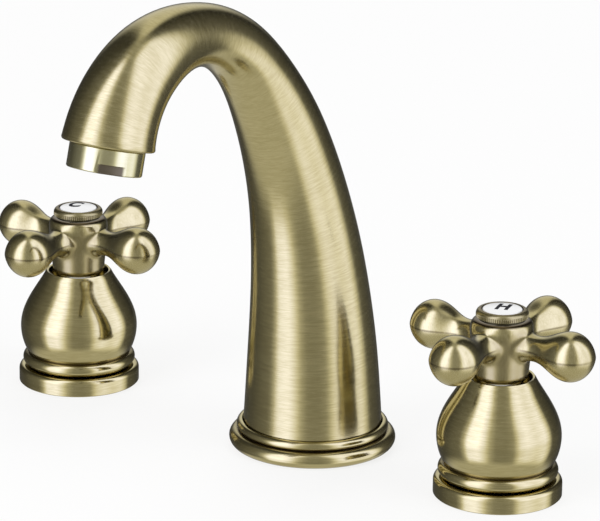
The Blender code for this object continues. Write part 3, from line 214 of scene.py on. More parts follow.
def lightStudio():
    for name, (azimuth, elevation, distance, size, power) in lamps.items():
        direction = heading(azimuth, elevation)
        bpy.ops.object.light_add(type='AREA', location=direction * distance)
        light = bpy.context.object
        light.name = name
        light.rotation_euler = (-direction).to_track_quat('-Z', 'Y').to_euler()
        light.data.shape = 'RECTANGLE'
        light.data.size, light.data.size_y = size
        light.data.energy = power
        light.visible_glossy = False  # metal sees the panels painted in the world


def paintWorld():
    world = bpy.data.worlds.new("studio")
    bpy.context.scene.world = world
    world.use_nodes = True
    world.node_tree.nodes.clear()
    room = Finish(world=world)
    direction = room.node("ShaderNodeTexCoord", {}, {}, "Generated")
    ahead, aside = (room.node("ShaderNodeVectorMath", {"operation": "DOT_PRODUCT"},
                              {0: direction, 1: heading(view["azimuth"] + turn)}, "Value")
                    for turn in (0, 90))
    height = room.split(direction)[2]
    turn = aside.maths("ARCTAN2", ahead)
    rise = height.maths("ARCSINE")

    top = studio["brightest"]
    stops = [((azimuth + 180) / 360, grey(level / top)) for azimuth, level in studio["walls"]]
    walls = room.node("ShaderNodeValToRGB", {"stops": stops}, {"Fac": turn / math.tau + 0.5}) * top
    backdrop = studio["backdrop"]
    behind = room.spread(turn.maths("ABSOLUTE"), *(math.radians(a) for a in backdrop["azimuth"]))
    behind = behind * room.spread(height, *backdrop["height"])
    walls = walls + behind * (backdrop["level"] - walls)
    high, below = math.radians(studio["wallsTop"]), math.radians(studio["tableBelow"])
    overhead = room.spread(rise, high, high + studio["ceilingFade"])
    above = walls + overhead * (studio["ceiling"] - walls)
    table = walls * studio["tableShine"] + studio["tableNear"]  # shows the panels again, weaker
    underneath = room.spread(rise, below, below - studio["tableFade"])
    table = table + underneath * (studio["table"] - table)
    horizon = room.spread(rise, *(math.radians(a) for a in studio["horizon"]))
    level = table + horizon * (above - table)
    rays = room.node("ShaderNodeLightPath")
    camera, glossy, through = (Wire(room, rays.socket.node.outputs[f"Is {name} Ray"])
                               for name in ("Camera", "Glossy", "Transmission"))
    lit = studio["ambient"] + glossy * (level - studio["ambient"])
    final = lit + camera.maths("MAXIMUM", through) * (1.0 - lit)
    cool = room.spread(level, *studio["tinted"]) * glossy
    colour = room.blend(cool, grey(1.0), (*studio["tint"], 1.0))
    shader = room.node("ShaderNodeBackground", {}, {"Color": colour, "Strength": final})
    room.node("ShaderNodeOutputWorld", {}, {"Surface": shader})
    world.cycles.sampling_method = 'NONE'


def layFloor():
    bpy.ops.mesh.primitive_circle_add(vertices=96, radius=paleFloor["radius"], fill_type='NGON',
                                      location=(0, 0, -paleFloor["drop"]))
    floor = bpy.context.object
    floor.name = "floor"
    floor.visible_glossy = False  # the table that metal sees is in the world
    paper = Finish("paleFloor")
    paper.set(Base_Color=grey(paleFloor["pale"]), Roughness=paleFloor["roughness"],
              Specular_IOR_Level=0.0)
    white = paper.node("ShaderNodeEmission", {}, {"Color": grey(1.0), "Strength": 1.0})
    seen = paper.node("ShaderNodeLightPath", {}, {}, "Is Camera Ray") * paleFloor["white"]
    lit = Wire(paper, paper.shader.outputs[0])
    top = paper.node("ShaderNodeMixShader", {}, {0: seen, 1: lit, 2: white})
    fromBelow = paper.node("ShaderNodeNewGeometry", {}, {}, "Backfacing")
    clear = paper.node("ShaderNodeBsdfTransparent")  # so that the underside can be looked at
    surface = paper.node("ShaderNodeMixShader", {}, {0: fromBelow, 1: top, 2: clear})
    output = paper.tree.nodes["Material Output"]
    paper.tree.links.new(surface.socket, output.inputs["Surface"])
    floor.data.materials.append(paper.block)


def clearSelection():
    if bpy.context.object and bpy.context.object.mode != 'OBJECT':
        bpy.ops.object.mode_set(mode='OBJECT')
    bpy.ops.object.select_all(action='DESELECT')


def pick(*objs):  # only these are selected, the last one active
    clearSelection()
    for obj in objs:
        obj.select_set(True)
    bpy.context.view_layer.objects.active = objs[-1]


def applyPlace(obj):
    pick(obj)
    bpy.ops.object.transform_apply(location=True, rotation=True, scale=True)


def modify(obj, kind, **settings):  # adds a modifier and applies it
    modifier = obj.modifiers.new(kind.lower(), kind)
    for key, value in settings.items():
        setattr(modifier, key, value)
    pick(obj)
    bpy.ops.object.modifier_apply(modifier=modifier.name)


def softenEdges(obj, width, segments=2):
    modify(obj, 'BEVEL', width=width * mm, segments=segments, limit_method='ANGLE',
           angle_limit=math.radians(30), harden_normals=False)


def remeshed(obj, voxel):
    obj.data.remesh_voxel_size = voxel * mm
    pick(obj)
    bpy.ops.object.voxel_remesh()


def copied(obj):  # with its own mesh
    twin = obj.copy()
    twin.data = obj.data.copy()
    bpy.context.collection.objects.link(twin)
    return twin


def selectWhere(obj, kind, wanted):  # leaves edit mode open on the wanted points or faces
    pick(obj)
    bpy.ops.object.mode_set(mode='EDIT')
    bpy.ops.mesh.select_mode(type=kind)
    bpy.ops.mesh.select_all(action='DESELECT')
    bpy.ops.object.mode_set(mode='OBJECT')
    for element in obj.data.polygons if kind == 'FACE' else obj.data.vertices:
        element.select = wanted(element)
    bpy.ops.object.mode_set(mode='EDIT')


def keepLathe(obj):  # remembers each point's place round the turning axis, for the brushing
    kept = obj.data.attributes.get("lathe")
    attribute = kept or obj.data.attributes.new("lathe", 'FLOAT_VECTOR', 'POINT')
    attribute.data.foreach_set("vector", [c for v in obj.data.vertices for c in v.co])


def drawOutline(name, outline):  # points of (radius, height), left open if it ends on the axis
    clearSelection()
    first = Vector((outline[0][0], 0, outline[0][1])) * mm
    bpy.ops.mesh.primitive_plane_add(size=mm, location=first)
    obj = bpy.context.object
    obj.name = name
    bpy.ops.object.transform_apply(location=True)
    bpy.ops.object.mode_set(mode='EDIT')
    bpy.ops.mesh.merge(type='CENTER')
    onAxis = outline[0][0] == 0 and outline[-1][0] == 0
    path = outline if onAxis else outline + outline[:1]
    for (r, z), (nextR, nextZ) in zip(path, path[1:]):
        step = Vector((nextR - r, 0, nextZ - z)) * mm
        bpy.ops.mesh.extrude_region_move(TRANSFORM_OT_translate={"value": step})
    bpy.ops.mesh.select_all(action='SELECT')
    bpy.ops.mesh.remove_doubles(threshold=0.002 * mm)
    return obj


def turned(name, outline, steps=96, edge=0.0):  # an outline spun round Z
    obj = drawOutline(name, outline)
    bpy.ops.mesh.select_all(action='SELECT')
    bpy.ops.mesh.spin(steps=steps, angle=math.tau, center=(0, 0, 0), axis=(0, 0, 1))
    bpy.ops.mesh.select_all(action='SELECT')
    bpy.ops.mesh.remove_doubles(threshold=0.002 * mm)
    bpy.ops.mesh.normals_make_consistent(inside=False)
    bpy.ops.object.mode_set(mode='OBJECT')
    if edge:
        softenEdges(obj, edge)
    keepLathe(obj)
    return obj


def arc(centreR, centreZ, radius, start, end, steps=8):
    angles = [math.radians(start + (end - start) * i / steps) for i in range(steps + 1)]
    return [(centreR + radius * math.cos(a), centreZ + radius * math.sin(a)) for a in angles]


def ring(name, inner, outer, low, high, edge=0.2):
    return turned(name, [(inner, high), (outer, high), (outer, low), (inner, low)], 72, edge)


def carve(obj, tool, operation='DIFFERENCE'):
    modify(obj, 'BOOLEAN', object=tool, operation=operation, solver='EXACT')
    bpy.data.objects.remove(tool)


def laid(obj, x=0.0, y=0.0, z=0.0, turn=(0, 0, 0)):  # turned by degrees, then moved
    obj.rotation_euler = [math.radians(a) for a in turn]
    obj.location = Vector((x, y, z)) * mm
    applyPlace(obj)
    return obj


def alongX(obj, height, way=1):  # an upright piece laid down along X, at this height
    return laid(laid(obj, turn=(0, 90 * way, 0)), z=height)


def joined(obj, *others):
    pick(*others, obj)
    bpy.ops.object.join()
    return obj


threads = {"wide": (1.814, 0.95), "port": (1.337, 0.9), "aerator": (1.0, 0.75)}  # pitch, depth
threadSunk = 0.15


def screwThread(name, kind, crest, low, high):  # one helical ridge, sunk into its core
    pitch, depth = threads[kind]
    root = crest - depth - threadSunk
    half = pitch * 0.46  # of the ridge's foot, which leaves a narrow flat between turns
    obj = drawOutline(name, [(root, low + 2 * half), (crest, low + 1.25 * half),
                             (crest, low + 0.75 * half), (root, low)])
    bpy.ops.object.mode_set(mode='OBJECT')
    turns = int((high - low) / pitch)
    modify(obj, 'SCREW', axis='Z', screw_offset=pitch * mm, iterations=turns, steps=32,
           render_steps=32, use_merge_vertices=False, use_normal_calculate=True)
    bpy.ops.object.mode_set(mode='EDIT')
    bpy.ops.mesh.select_all(action='SELECT')
    bpy.ops.mesh.fill_holes(sides=4)
    bpy.ops.mesh.normals_make_consistent(inside=False)
    bpy.ops.object.mode_set(mode='OBJECT')
    keepLathe(obj)
    return obj


mirrored = ("spout_body", "spout_base_ring", "aerator_housing", "_bell_cover", "_base_flange")


def handIn(obj, node, finish, smooth=35):
    obj.visible_glossy = node.endswith(mirrored)  # the big covers alone show in the others' polish
    applyPlace(obj)
    bpy.ops.object.shade_smooth_by_angle(angle=math.radians(smooth))
    obj.data.materials.clear()
    obj.data.materials.append(finishes[finish])
    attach(obj, frame["nodes"][node]["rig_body"])
    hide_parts(node)


# Finishes

# patina is the dark colour of the crevices: dark patina and painted shade together
brass = {
    "clean": (0.53, 0.46, 0.225, 1.0), "dull": (0.44, 0.375, 0.17, 1.0),
    "patinaAndShade": (0.11, 0.08, 0.034, 1.0), "streakWidth": 0.24, "streakLength": 4.5,
    "creviceReach": 3.2, "creviceSpan": (0.45, 0.85), "rubbed": (0.38, 0.62), "cloudScale": 55.0,
    "streakRough": 0.12, "patinaRough": 0.2, "streakBump": 0.3,
}
castLook = {  # the handles, rubbed bright on the lobes; brown tarnish round the hub with painted shade under the arms, a dark line painted along the lobes' parting line, painted shade on the lobes' lower halves and under the index ring
    "brown": (0.27, 0.22, 0.105, 1.0), "grain": (2600, 2600, 380), "hubShare": 0.6,
    "hubOut": (11, 17), "hubHeight": (60, 66), "ragged": (6, 9), "lobes": (12, 15),
    "armHeight": 59.2, "seam": (0.05, 0.65), "seamShare": 0.65, "seamBroken": (0.35, 0.6),
    "shadedUnderside": (-0.3, 0.1), "ringShade": (66.5, 67.2), "creviceReach": 4.0, "creviceSpan": (0.45, 0.9),
    "cloudScale": 110.0, "roughness": 0.18, "scratchRough": 0.12, "brownRough": 0.1,
}
knurlLook = {  # the index rings, with dark patina and painted shade in the flutes and next to the button, and a near-black painted shadow below the wall
    "light": (0.4, 0.345, 0.16, 1.0), "dark": (0.3, 0.255, 0.115, 1.0),
    "shadowAndPatina": (0.012, 0.01, 0.005, 1.0), "grooveShadowTop": (68.5, 68.9), "fluteOut": (9.42, 9.6),
    "fluteTop": (69.3, 69.8), "inside": (8.1, 8.9), "creviceReach": 0.8, "creviceSpan": (0.4, 0.9),
    "roughness": 0.24,
}
endLook = {  # the spout's end piece, rougher in its spanner flats, which carry a painted dark reflection
    "light": (0.55, 0.51, 0.27, 1.0), "dark": (0.62, 0.58, 0.33, 1.0),
    "flat": (0.11, 0.085, 0.06, 1.0), "flatOut": (12.9, 13.3), "flatHeight": (-2.0, -3.0),
    "creviceReach": 1.2, "creviceSpan": (0.35, 0.8), "roughness": 0.13, "flatRough": 0.25,
}


def streaksRound(finish, width, length):  # fine lines that run round the turning axis
    x, y, z = finish.split(finish.lathePlace())
    radius = (x * x + y * y).maths("SQRT") + 1e-6  # never divided by nothing on the axis
    fineness = 1.0 / (width * mm)
    place = finish.join(radius * fineness, z * fineness, x / radius * length)
    return finish.node("ShaderNodeTexNoise", {"noise_dimensions": '4D'},
                       {"Vector": place, "W": y / radius * length, "Scale": 1.0, "Detail": 2.0,
                        "Roughness": 0.6})


def clearOfPatinaAndShade(finish, look):  # 0 in the crevices, where occlusion lays dark patina and painted shade, 1 on open metal
    crevices = finish.node("ShaderNodeAmbientOcclusion", {"samples": 6, "only_local": True},
                           {"Distance": look["creviceReach"] * mm}, "AO")
    return finish.spread(crevices, *look["creviceSpan"])


def agedBrass(name, streakDepth, roughness):
    finish = Finish(name)
    fine = streaksRound(finish, brass["streakWidth"], brass["streakLength"])
    broad = streaksRound(finish, brass["streakWidth"] * 4, brass["streakLength"] * 0.7)
    cloud = finish.noise(finish.objectPlace(), brass["cloudScale"], 3.0)
    clearMetal = clearOfPatinaAndShade(finish, brass)
    wear = finish.spread(fine * 0.5 + broad * 0.3 + cloud * 0.2, *brass["rubbed"])
    metal = finish.blend(wear, brass["dull"], brass["clean"])
    rough = roughness + (broad - 0.5) * brass["streakRough"] + (1.0 - clearMetal) * brass["patinaRough"]
    # the crevices darken to dark patina and painted shade
    return finish.set(Base_Color=finish.blend(clearMetal, brass["patinaAndShade"], metal), Metallic=1.0,
                      Roughness=rough,
                      Normal=finish.bump(fine, brass["streakBump"] * streakDepth, 0.03))


def castBrass():
    look = castLook
    finish = Finish("castBrass")
    place = finish.lathePlace()
    outward, z = finish.fromAxis()
    grain = finish.node("ShaderNodeMapping", {}, {"Vector": place, "Scale": look["grain"]})
    scratch = finish.noise(grain, 1.0, 2.0)
    cloud = finish.noise(place, look["cloudScale"], 4.0, 0.6)
    raggedOut, raggedUp = ((cloud - 0.5) * (width * mm) for width in look["ragged"])
    # brown tarnish round the hub, darkest below the arms, where it is painted shade as well
    hub = finish.between(outward + raggedOut, look["hubOut"], look["hubShare"], 0.0)
    hub = hub * finish.between(z + raggedUp, look["hubHeight"], 1.0, 0.0)
    level = z - look["armHeight"] * mm
    out = finish.between(outward, look["lobes"])
    # a dark line along the lobes' parting line: patina in the seam and a painted reflection of the
    # horizon
    seam = finish.between(level.maths("ABSOLUTE"), look["seam"], look["seamShare"], 0.0) * out
    seam = seam * finish.spread(cloud, *look["seamBroken"], 0.5, 1.0)
    # the lobes' lower halves, painted duller and darker as shade, and rougher
    under = finish.between(level, look["shadedUnderside"], 1.0, 0.0) * out
    ringShade = finish.between(z, look["ringShade"]) * (1.0 - out)
    # crevices, the parting line and the ground under the index ring darken to patina and painted
    # shade
    clearMetal = clearOfPatinaAndShade(finish, look) * (1.0 - seam) * (1.0 - ringShade)
    rubbed = finish.spread(cloud * 0.7 + scratch * 0.3, *brass["rubbed"])
    metal = finish.blend(rubbed, brass["dull"], brass["clean"])
    metal = finish.blend(hub, metal, look["brown"])
    metal = finish.blend(under * 0.5, metal, brass["dull"])
    rough = look["roughness"] + (scratch - 0.5) * look["scratchRough"]
    rough = rough + hub * look["brownRough"] + under * look["brownRough"]
    return finish.set(Base_Color=finish.blend(clearMetal, brass["patinaAndShade"], metal), Metallic=1.0,
                      Roughness=rough, Normal=finish.bump(scratch, 0.2, 0.02))


def knurledBrass():
    look = knurlLook
    finish = Finish("knurledBrass")
    outward, z = finish.fromAxis()
    fine = streaksRound(finish, 0.3, 6.0)
    flute = finish.between(outward, look["fluteOut"], 1.0, 0.0)
    flute = flute * finish.between(z, look["fluteTop"], 1.0, 0.0)
    inside = finish.between(outward, look["inside"], 0.9, 0.0)
    # the flutes and the band next to the button darken to patina and painted shade
    clearMetal = clearOfPatinaAndShade(finish, look) * (1.0 - flute.maths("MAXIMUM", inside) * 0.9)
    metal = finish.blend(fine, look["light"], look["dark"])
    # below the wall a near-black painted shadow, above it patina and painted shade
    shadowAndPatina = finish.blend(finish.between(z, look["grooveShadowTop"]), look["shadowAndPatina"], brass["patinaAndShade"])
    return finish.set(Base_Color=finish.blend(clearMetal, shadowAndPatina, metal), Metallic=1.0,
                      Roughness=look["roughness"] + fine * 0.1,
                      Normal=finish.bump(fine, 0.1, 0.02))


def polishedBrass():
    look = endLook
    finish = Finish("polishedBrass")
    outward, z = finish.fromAxis()
    fine = streaksRound(finish, 0.4, 3.0)
    metal = finish.blend(fine, look["light"], look["dark"])
    # the spanner flats are painted dark, a painted reflection
    flats = finish.between(outward, look["flatOut"], 0.9, 0.0)
    flats = flats * finish.between(z, look["flatHeight"])
    metal = finish.blend(flats, metal, look["flat"])
    # the crevices darken to dark patina and painted shade
    return finish.set(Base_Color=finish.blend(clearOfPatinaAndShade(finish, look), brass["patinaAndShade"], metal),
                      Metallic=1.0, Normal=finish.bump(fine, 0.05, 0.02),
                      Roughness=look["roughness"] + fine * 0.06 + flats * look["flatRough"])


def machined(name, light, dark, roughness, depth=0.2):  # turned or drawn metal with tool marks
    finish = Finish(name)
    marks = streaksRound(finish, 0.25, 0.5)
    cloud = finish.noise(finish.objectPlace(), 70.0, 4.0)
    return finish.set(Base_Color=finish.blend(finish.spread(cloud, 0.35, 0.7), light, dark),
                      Metallic=1.0, Roughness=roughness + (cloud - 0.5) * 0.2 + marks * 0.05,
                      Normal=finish.bump(marks, depth, 0.03))


def insideMetal(name, light, dark, roughness):  # solids of the frame have only their object place
    finish = Finish(name)
    place = finish.objectPlace()
    grain = finish.node("ShaderNodeMapping", {}, {"Vector": place, "Scale": (60, 60, 5000)})
    marks = finish.noise(grain, 1.0, 1.0)
    cloud = finish.noise(place, 120.0, 3.0)
    return finish.set(Base_Color=finish.blend(cloud, light, dark), Metallic=1.0,
                      Roughness=roughness + marks * 0.1, Normal=finish.bump(marks, 0.15, 0.03))


def softStuff(name, light, dark, roughness, scale, depth, **fixed):
    finish = Finish(name)
    grain = finish.noise(finish.objectPlace(), scale, 4.0, 0.7)
    return finish.set(Base_Color=finish.blend(finish.spread(grain, 0.3, 0.7), light, dark),
                      Roughness=roughness + (grain - 0.5) * 0.12,
                      Normal=finish.bump(grain, 0.25, depth), **fixed)


def glazed(name, colour, tint, roughness):
    finish = Finish(name)
    cloud = finish.noise(finish.objectPlace(), 140.0, 2.0)
    ripple = finish.noise(finish.objectPlace(), 420.0)
    return finish.set(Base_Color=finish.blend(cloud, colour, tint), Roughness=roughness,
                      Coat_Weight=0.6, Normal=finish.bump(ripple, 0.04, 0.05))


finishes = {
    "brushed": agedBrass("brushedAgedBrass", 0.9, 0.18),
    "bell": agedBrass("bellAgedBrass", 0.7, 0.13),
    "bead": agedBrass("rubbedAgedBrass", 0.5, 0.16),
    "cast": castBrass(),
    "knurled": knurledBrass(),
    "polished": polishedBrass(),
    "rawBrass": machined("machinedBrass", (0.66, 0.50, 0.22, 1), (0.52, 0.38, 0.15, 1), 0.3),
    "copper": machined("drawnCopper", (0.70, 0.36, 0.22, 1), (0.55, 0.25, 0.14, 1), 0.28, 0.1),
    "steel": machined("turnedSteel", (0.60, 0.60, 0.59, 1), grey(0.48), 0.3),
    "innerBrass": insideMetal("innerBrass", (0.64, 0.48, 0.21, 1), (0.54, 0.40, 0.16, 1), 0.3),
    "innerSteel": insideMetal("innerSteel", (0.60, 0.60, 0.59, 1), grey(0.5), 0.28),
    "rubber": softStuff("blackRubber", grey(0.022), grey(0.04), 0.7, 900.0, 0.05),
    "fibre": softStuff("pressedFibre", (0.36, 0.10, 0.06, 1), (0.48, 0.16, 0.10, 1), 0.75,
                       1500.0, 0.08),
    "plastic": softStuff("mouldedPlastic", (0.78, 0.79, 0.78, 1), (0.83, 0.84, 0.83, 1), 0.42,
                         600.0, 0.02),
    "ceramic": glazed("lappedCeramic", (0.86, 0.85, 0.80, 1), (0.82, 0.81, 0.76, 1), 0.22),
    "porcelain": glazed("whitePorcelain", (0.84, 0.845, 0.85, 1), (0.80, 0.805, 0.81, 1), 0.07),
    "ink": softStuff("blackInk", (0.01, 0.01, 0.012, 1), (0.02, 0.02, 0.022, 1), 0.7, 900.0,
                     0.01, Specular_IOR_Level=0.1),
}
print("finishes made:", len(finishes))


# Spout

spout = {
    "foot": 4.3, "straightTop": 7.0, "length": 257.5, "rings": 104, "footRadius": 26.6,
    "headings": (0, 3, 9, 17.6, 28.5, 44.4, 80, 120, 166),
    "taper": (1.0, 0.921, 0.812, 0.696, 0.594, 0.481, 0.432, 0.534, 0.624),
    "wall": 3.2, "web": 12.0, "footBore": 10.7, "mouthBore": 12.0, "mouthDepth": 12.6,
    "mouthStep": 1.6, "edge": 0.9, "innerSpacing": 4,
}


def smoothValue(values, share):  # Catmull-Rom between equally spaced values
    last = len(values) - 1
    place = min(max(share, 0.0), 1.0) * last
    i = min(int(place), last - 1)
    t = place - i
    b, c = values[i], values[i + 1]
    a = values[i - 1] if i else 2 * b - c
    d = values[i + 2] if i + 2 <= last else 2 * c - b
    return 0.5 * (2 * b + (c - a) * t + (2 * a - 5 * b + 4 * c - d) * t ** 2
                  + (3 * b - a - 3 * c + d) * t ** 3)


def spoutPath():  # centreline from the foot to the mouth
    count = spout["rings"] * 3
    step = spout["length"] / count
    point = Vector((0, 0, spout["straightTop"]))
    points = [Vector((0, 0, spout["foot"])), point.copy()]
    for i in range(count):
        angle = math.radians(smoothValue(spout["headings"], (i + 0.5) / count))
        point = point + step * Vector((0, -math.sin(angle), math.cos(angle)))
        points.append(point)
    return points


def spoutRadius(along):
    share = (along - (spout["straightTop"] - spout["foot"])) / spout["length"]
    return spout["footRadius"] * smoothValue(spout["taper"], share)


def bendAlong(obj, points):
    curve = bpy.data.curves.new("spoutPath", 'CURVE')
    curve.dimensions = '3D'
    spline = curve.splines.new('POLY')
    spline.points.add(len(points) - 1)
    for target, point in zip(spline.points, points):
        target.co = (*(point * mm), 1.0)
    path = bpy.data.objects.new("spoutPath", curve)
    bpy.context.scene.collection.objects.link(path)
    modify(obj, 'CURVE', object=path, deform_axis='POS_Z')
    bpy.data.objects.remove(path)


def makeSpout():
    s = spout
    total = s["length"] + s["straightTop"] - s["foot"]
    count = s["rings"]
    outer = [(spoutRadius(total * i / count), total * i / count) for i in range(count)]
    outer = [p for p in outer if p[1] < total - s["edge"]]
    lip = arc(spoutRadius(total) - s["edge"], total - s["edge"], s["edge"], 0, 90, 4)
    step = total - s["mouthDepth"]
    bore = s["mouthBore"]
    throat = [(bore, total), (bore, step), (bore - s["mouthStep"], step)]
    heights = (step - s["innerSpacing"] * (i + 1) for i in range(count))
    inner = [(spoutRadius(z) - s["wall"], z) for z in heights if z > s["web"]]
    web = [(inner[-1][0], s["web"]), (s["footBore"], s["web"]), (s["footBore"], 0)]
    body = turned("spoutBody", outer + lip + throat + inner + web)
    bendAlong(body, spoutPath())
    handIn(body, "spout_body", "brushed")


gasket = {"play": 0.3, "thickness": 2.0}


def makeGasket(name, node, seat, x=0.0):  # a flat ring with play on both sides of its groove
    inner, outer = seat["sealInner"] + gasket["play"], seat["sealOuter"] - gasket["play"]
    handIn(laid(ring(name, inner, outer, 0.0, gasket["thickness"]), x), node, "rubber")


baseRing = {
    "bore": 26.9, "height": 9.6, "upperCentre": 27.1, "upperSection": 1.85, "lowerCentre": 28.7,
    "lowerHeight": 2.9, "lowerSection": 3.1, "valley": -58, "sealOuter": 27.0, "sealInner": 18.0,
    "sealDepth": 2.3, "shankBore": 10.7, "ledge": 4.0,
}


def makeBaseRing():
    r = baseRing
    crest = r["upperCentre"] + r["upperSection"]
    meet = math.degrees(math.acos((crest - r["lowerCentre"]) / r["lowerSection"]))
    foot = -math.degrees(math.asin(r["lowerHeight"] / r["lowerSection"]))
    upperHeight = r["height"] - r["upperSection"]
    outline = [(r["bore"], r["height"])]
    outline += arc(r["upperCentre"], upperHeight, r["upperSection"], 90, r["valley"], 14)
    outline += arc(r["lowerCentre"], r["lowerHeight"], r["lowerSection"], meet, foot, 18)
    outline += [(r["sealOuter"], 0), (r["sealOuter"], r["sealDepth"]),
                (r["sealInner"], r["sealDepth"]), (r["sealInner"], 0), (r["shankBore"], 0),
                (r["shankBore"], r["ledge"]), (r["bore"], r["ledge"])]
    handIn(turned("spoutRing", outline, 128), "spout_base_ring", "bead")
    makeGasket("spoutGasket", "spout_gasket", r)


# Aerator, modelled with its axis up Z from the mouth and then tipped into it

aerator = {
    "threadRadius": 11.7, "threadLength": 10.0, "thread": (0.8, 9.4), "coreDepth": 0.8,
    "collar": 0.6, "radius": 13.4, "length": 8.8, "edge": 0.6, "bore": 10.2, "lip": 0.9,
    "lipBore": 9.2, "gap": 0.3, "chamfer": 0.3, "flatDepth": 1.1, "flatHeight": 3.4,
    "flatAngle": -41.0, "flatEdge": 0.5,
    "screen": {"thickness": 1.2, "wire": 0.32, "pitch": 1.25, "rim": 0.9, "held": 0.6},
}


def intoMouth(obj):
    points = spoutPath()
    mouth, inward = points[-1], (points[-2] - points[-1]).normalized()
    turn = Vector((0, 0, 1)).rotation_difference(inward).to_matrix().to_4x4()
    obj.matrix_world = Matrix.Translation(mouth * mm) @ turn
    applyPlace(obj)
    return obj


def makeAerator():
    a = aerator
    top, low, chamfer = -a["gap"], -a["gap"] - a["length"], a["chamfer"]
    core = a["threadRadius"] - a["coreDepth"]
    outline = [(a["bore"], a["threadLength"]), (core, a["threadLength"]),
               (core, top + a["collar"]), (a["threadRadius"], top),
               (a["radius"] - chamfer, top), (a["radius"], top - chamfer)]
    outline += arc(a["radius"] - a["edge"], low + a["edge"], a["edge"], 0, -90, 5)
    outline += [(a["lipBore"] + chamfer, low), (a["lipBore"], low + chamfer),
                (a["lipBore"], low + a["lip"]), (a["bore"], low + a["lip"])]
    housing = turned("aeratorHousing", outline)
    for turn in (0, 180):
        angle = math.radians(a["flatAngle"] + turn)
        side = Vector((math.cos(angle), math.sin(angle), 0)) * a["radius"] * mm
        clearSelection()
        bpy.ops.mesh.primitive_cube_add(size=1, location=side + Vector((0, 0, low * mm)),
                                        rotation=(0, 0, angle))
        cutter = bpy.context.object
        cutter.scale = Vector((2 * a["flatDepth"], 2 * a["radius"], 2 * a["flatHeight"])) * mm
        applyPlace(cutter)
        softenEdges(cutter, a["flatEdge"], 3)
        carve(housing, cutter)
    joined(housing, screwThread("aeratorThread", "aerator", a["threadRadius"], *a["thread"]))
    keepLathe(housing)
    handIn(intoMouth(housing), "aerator_housing", "polished")

    s = a["screen"]
    inside = a["bore"] - a["gap"]
    foot = low + a["lip"] + a["gap"]
    cells = int(2 * inside / s["pitch"])
    reach = (inside - s["rim"] * s["held"]) * mm  # the mesh ends inside its rim
    clearSelection()
    bpy.ops.mesh.primitive_grid_add(x_subdivisions=cells, y_subdivisions=cells,
                                    size=cells * s["pitch"] * mm,
                                    location=(0, 0, (foot + s["thickness"] / 2) * mm))
    mesh = bpy.context.object
    mesh.name = "aeratorScreen"
    bpy.ops.object.transform_apply(location=True)
    selectWhere(mesh, 'FACE', lambda face: face.center.xy.length > reach)
    bpy.ops.mesh.delete(type='FACE')
    bpy.ops.mesh.select_mode(type='VERT')
    bpy.ops.object.mode_set(mode='OBJECT')
    modify(mesh, 'WIREFRAME', thickness=s["wire"] * mm, use_even_offset=False)
    rim = ring("aeratorScreenRim", inside - s["rim"], inside, foot, foot + s["thickness"], 0.15)
    keepLathe(mesh)
    handIn(intoMouth(joined(rim, mesh)), "aerator_screen", "steel")


# Side valves

def valveX(side):  # the valve's axis, from the frame
    low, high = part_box(side + "_base_flange")
    return (low.x + high.x) / 2 / mm


flange = {
    "radius": 23.9, "height": 6.8, "edge": 1.9, "footEdge": 0.35, "bore": 13.5,
    "sealOuter": 21.6, "sealInner": 15.4, "sealDepth": 2.3,
}


def makeFlange(side):
    f = flange
    outline = [(f["bore"], f["height"])]
    outline += arc(f["radius"] - f["edge"], f["height"] - f["edge"], f["edge"], 90, 0)
    outline += [(f["radius"], f["footEdge"]), (f["radius"] - f["footEdge"], 0),
                (f["sealOuter"], 0), (f["sealOuter"], f["sealDepth"]),
                (f["sealInner"], f["sealDepth"]), (f["sealInner"], 0), (f["bore"], 0)]
    obj = laid(turned(side + "BaseFlange", outline), valveX(side))
    handIn(obj, side + "_base_flange", "bell")
    makeGasket(side + "FlangeGasket", side + "_flange_gasket", f, valveX(side))


bell = {
    "foot": 7.1, "top": 45.7, "rim": 12.9, "rimEdge": 0.3, "belly": 23.1, "bellyHeight": 22.8,
    "footCurve": 21.0, "groove": 12.9, "taper": 1.2, "wall": 1.8, "rimWall": 1.0, "web": 4.6,
    "bore": 13.5, "beadRadius": 22.3, "beadSection": 2.6, "rimDrop": 0.2, "rings": 36,
}


def bellRadius(height):
    rise = height - bell["bellyHeight"]
    if rise > 0:
        share = min(rise / (bell["top"] - bell["bellyHeight"]), 1.0)
        swell = math.cos(share * math.pi / 2) ** bell["taper"]
        return bell["rim"] + (bell["belly"] - bell["rim"]) * swell
    return bell["belly"] - bell["footCurve"] + math.sqrt(bell["footCurve"] ** 2 - rise ** 2)


def makeBell(side):
    b = bell
    heights = [b["top"] - (b["top"] - b["groove"]) * i / b["rings"] for i in range(b["rings"] + 1)]
    outline = [(b["rim"] - b["rimEdge"], b["top"])]
    outline += [(bellRadius(z), z) for z in heights if z < b["top"] - b["rimEdge"]]
    outline += arc(b["beadRadius"] - b["beadSection"], b["foot"] + b["beadSection"],
                   b["beadSection"], 78, -90, 16)
    floor = b["foot"] + b["web"]
    outline += [(b["bore"], b["foot"]), (b["bore"], floor),
                (bellRadius(b["groove"]) - b["wall"], floor)]
    outline += [(bellRadius(z) - b["wall"], z) for z in reversed(heights[4:-2:3])]
    outline += [(b["rim"] - b["rimWall"], b["top"] - b["rimDrop"])]
    obj = laid(turned(side + "Bell", outline, 112), valveX(side))
    handIn(obj, side + "_bell_cover", "bell")


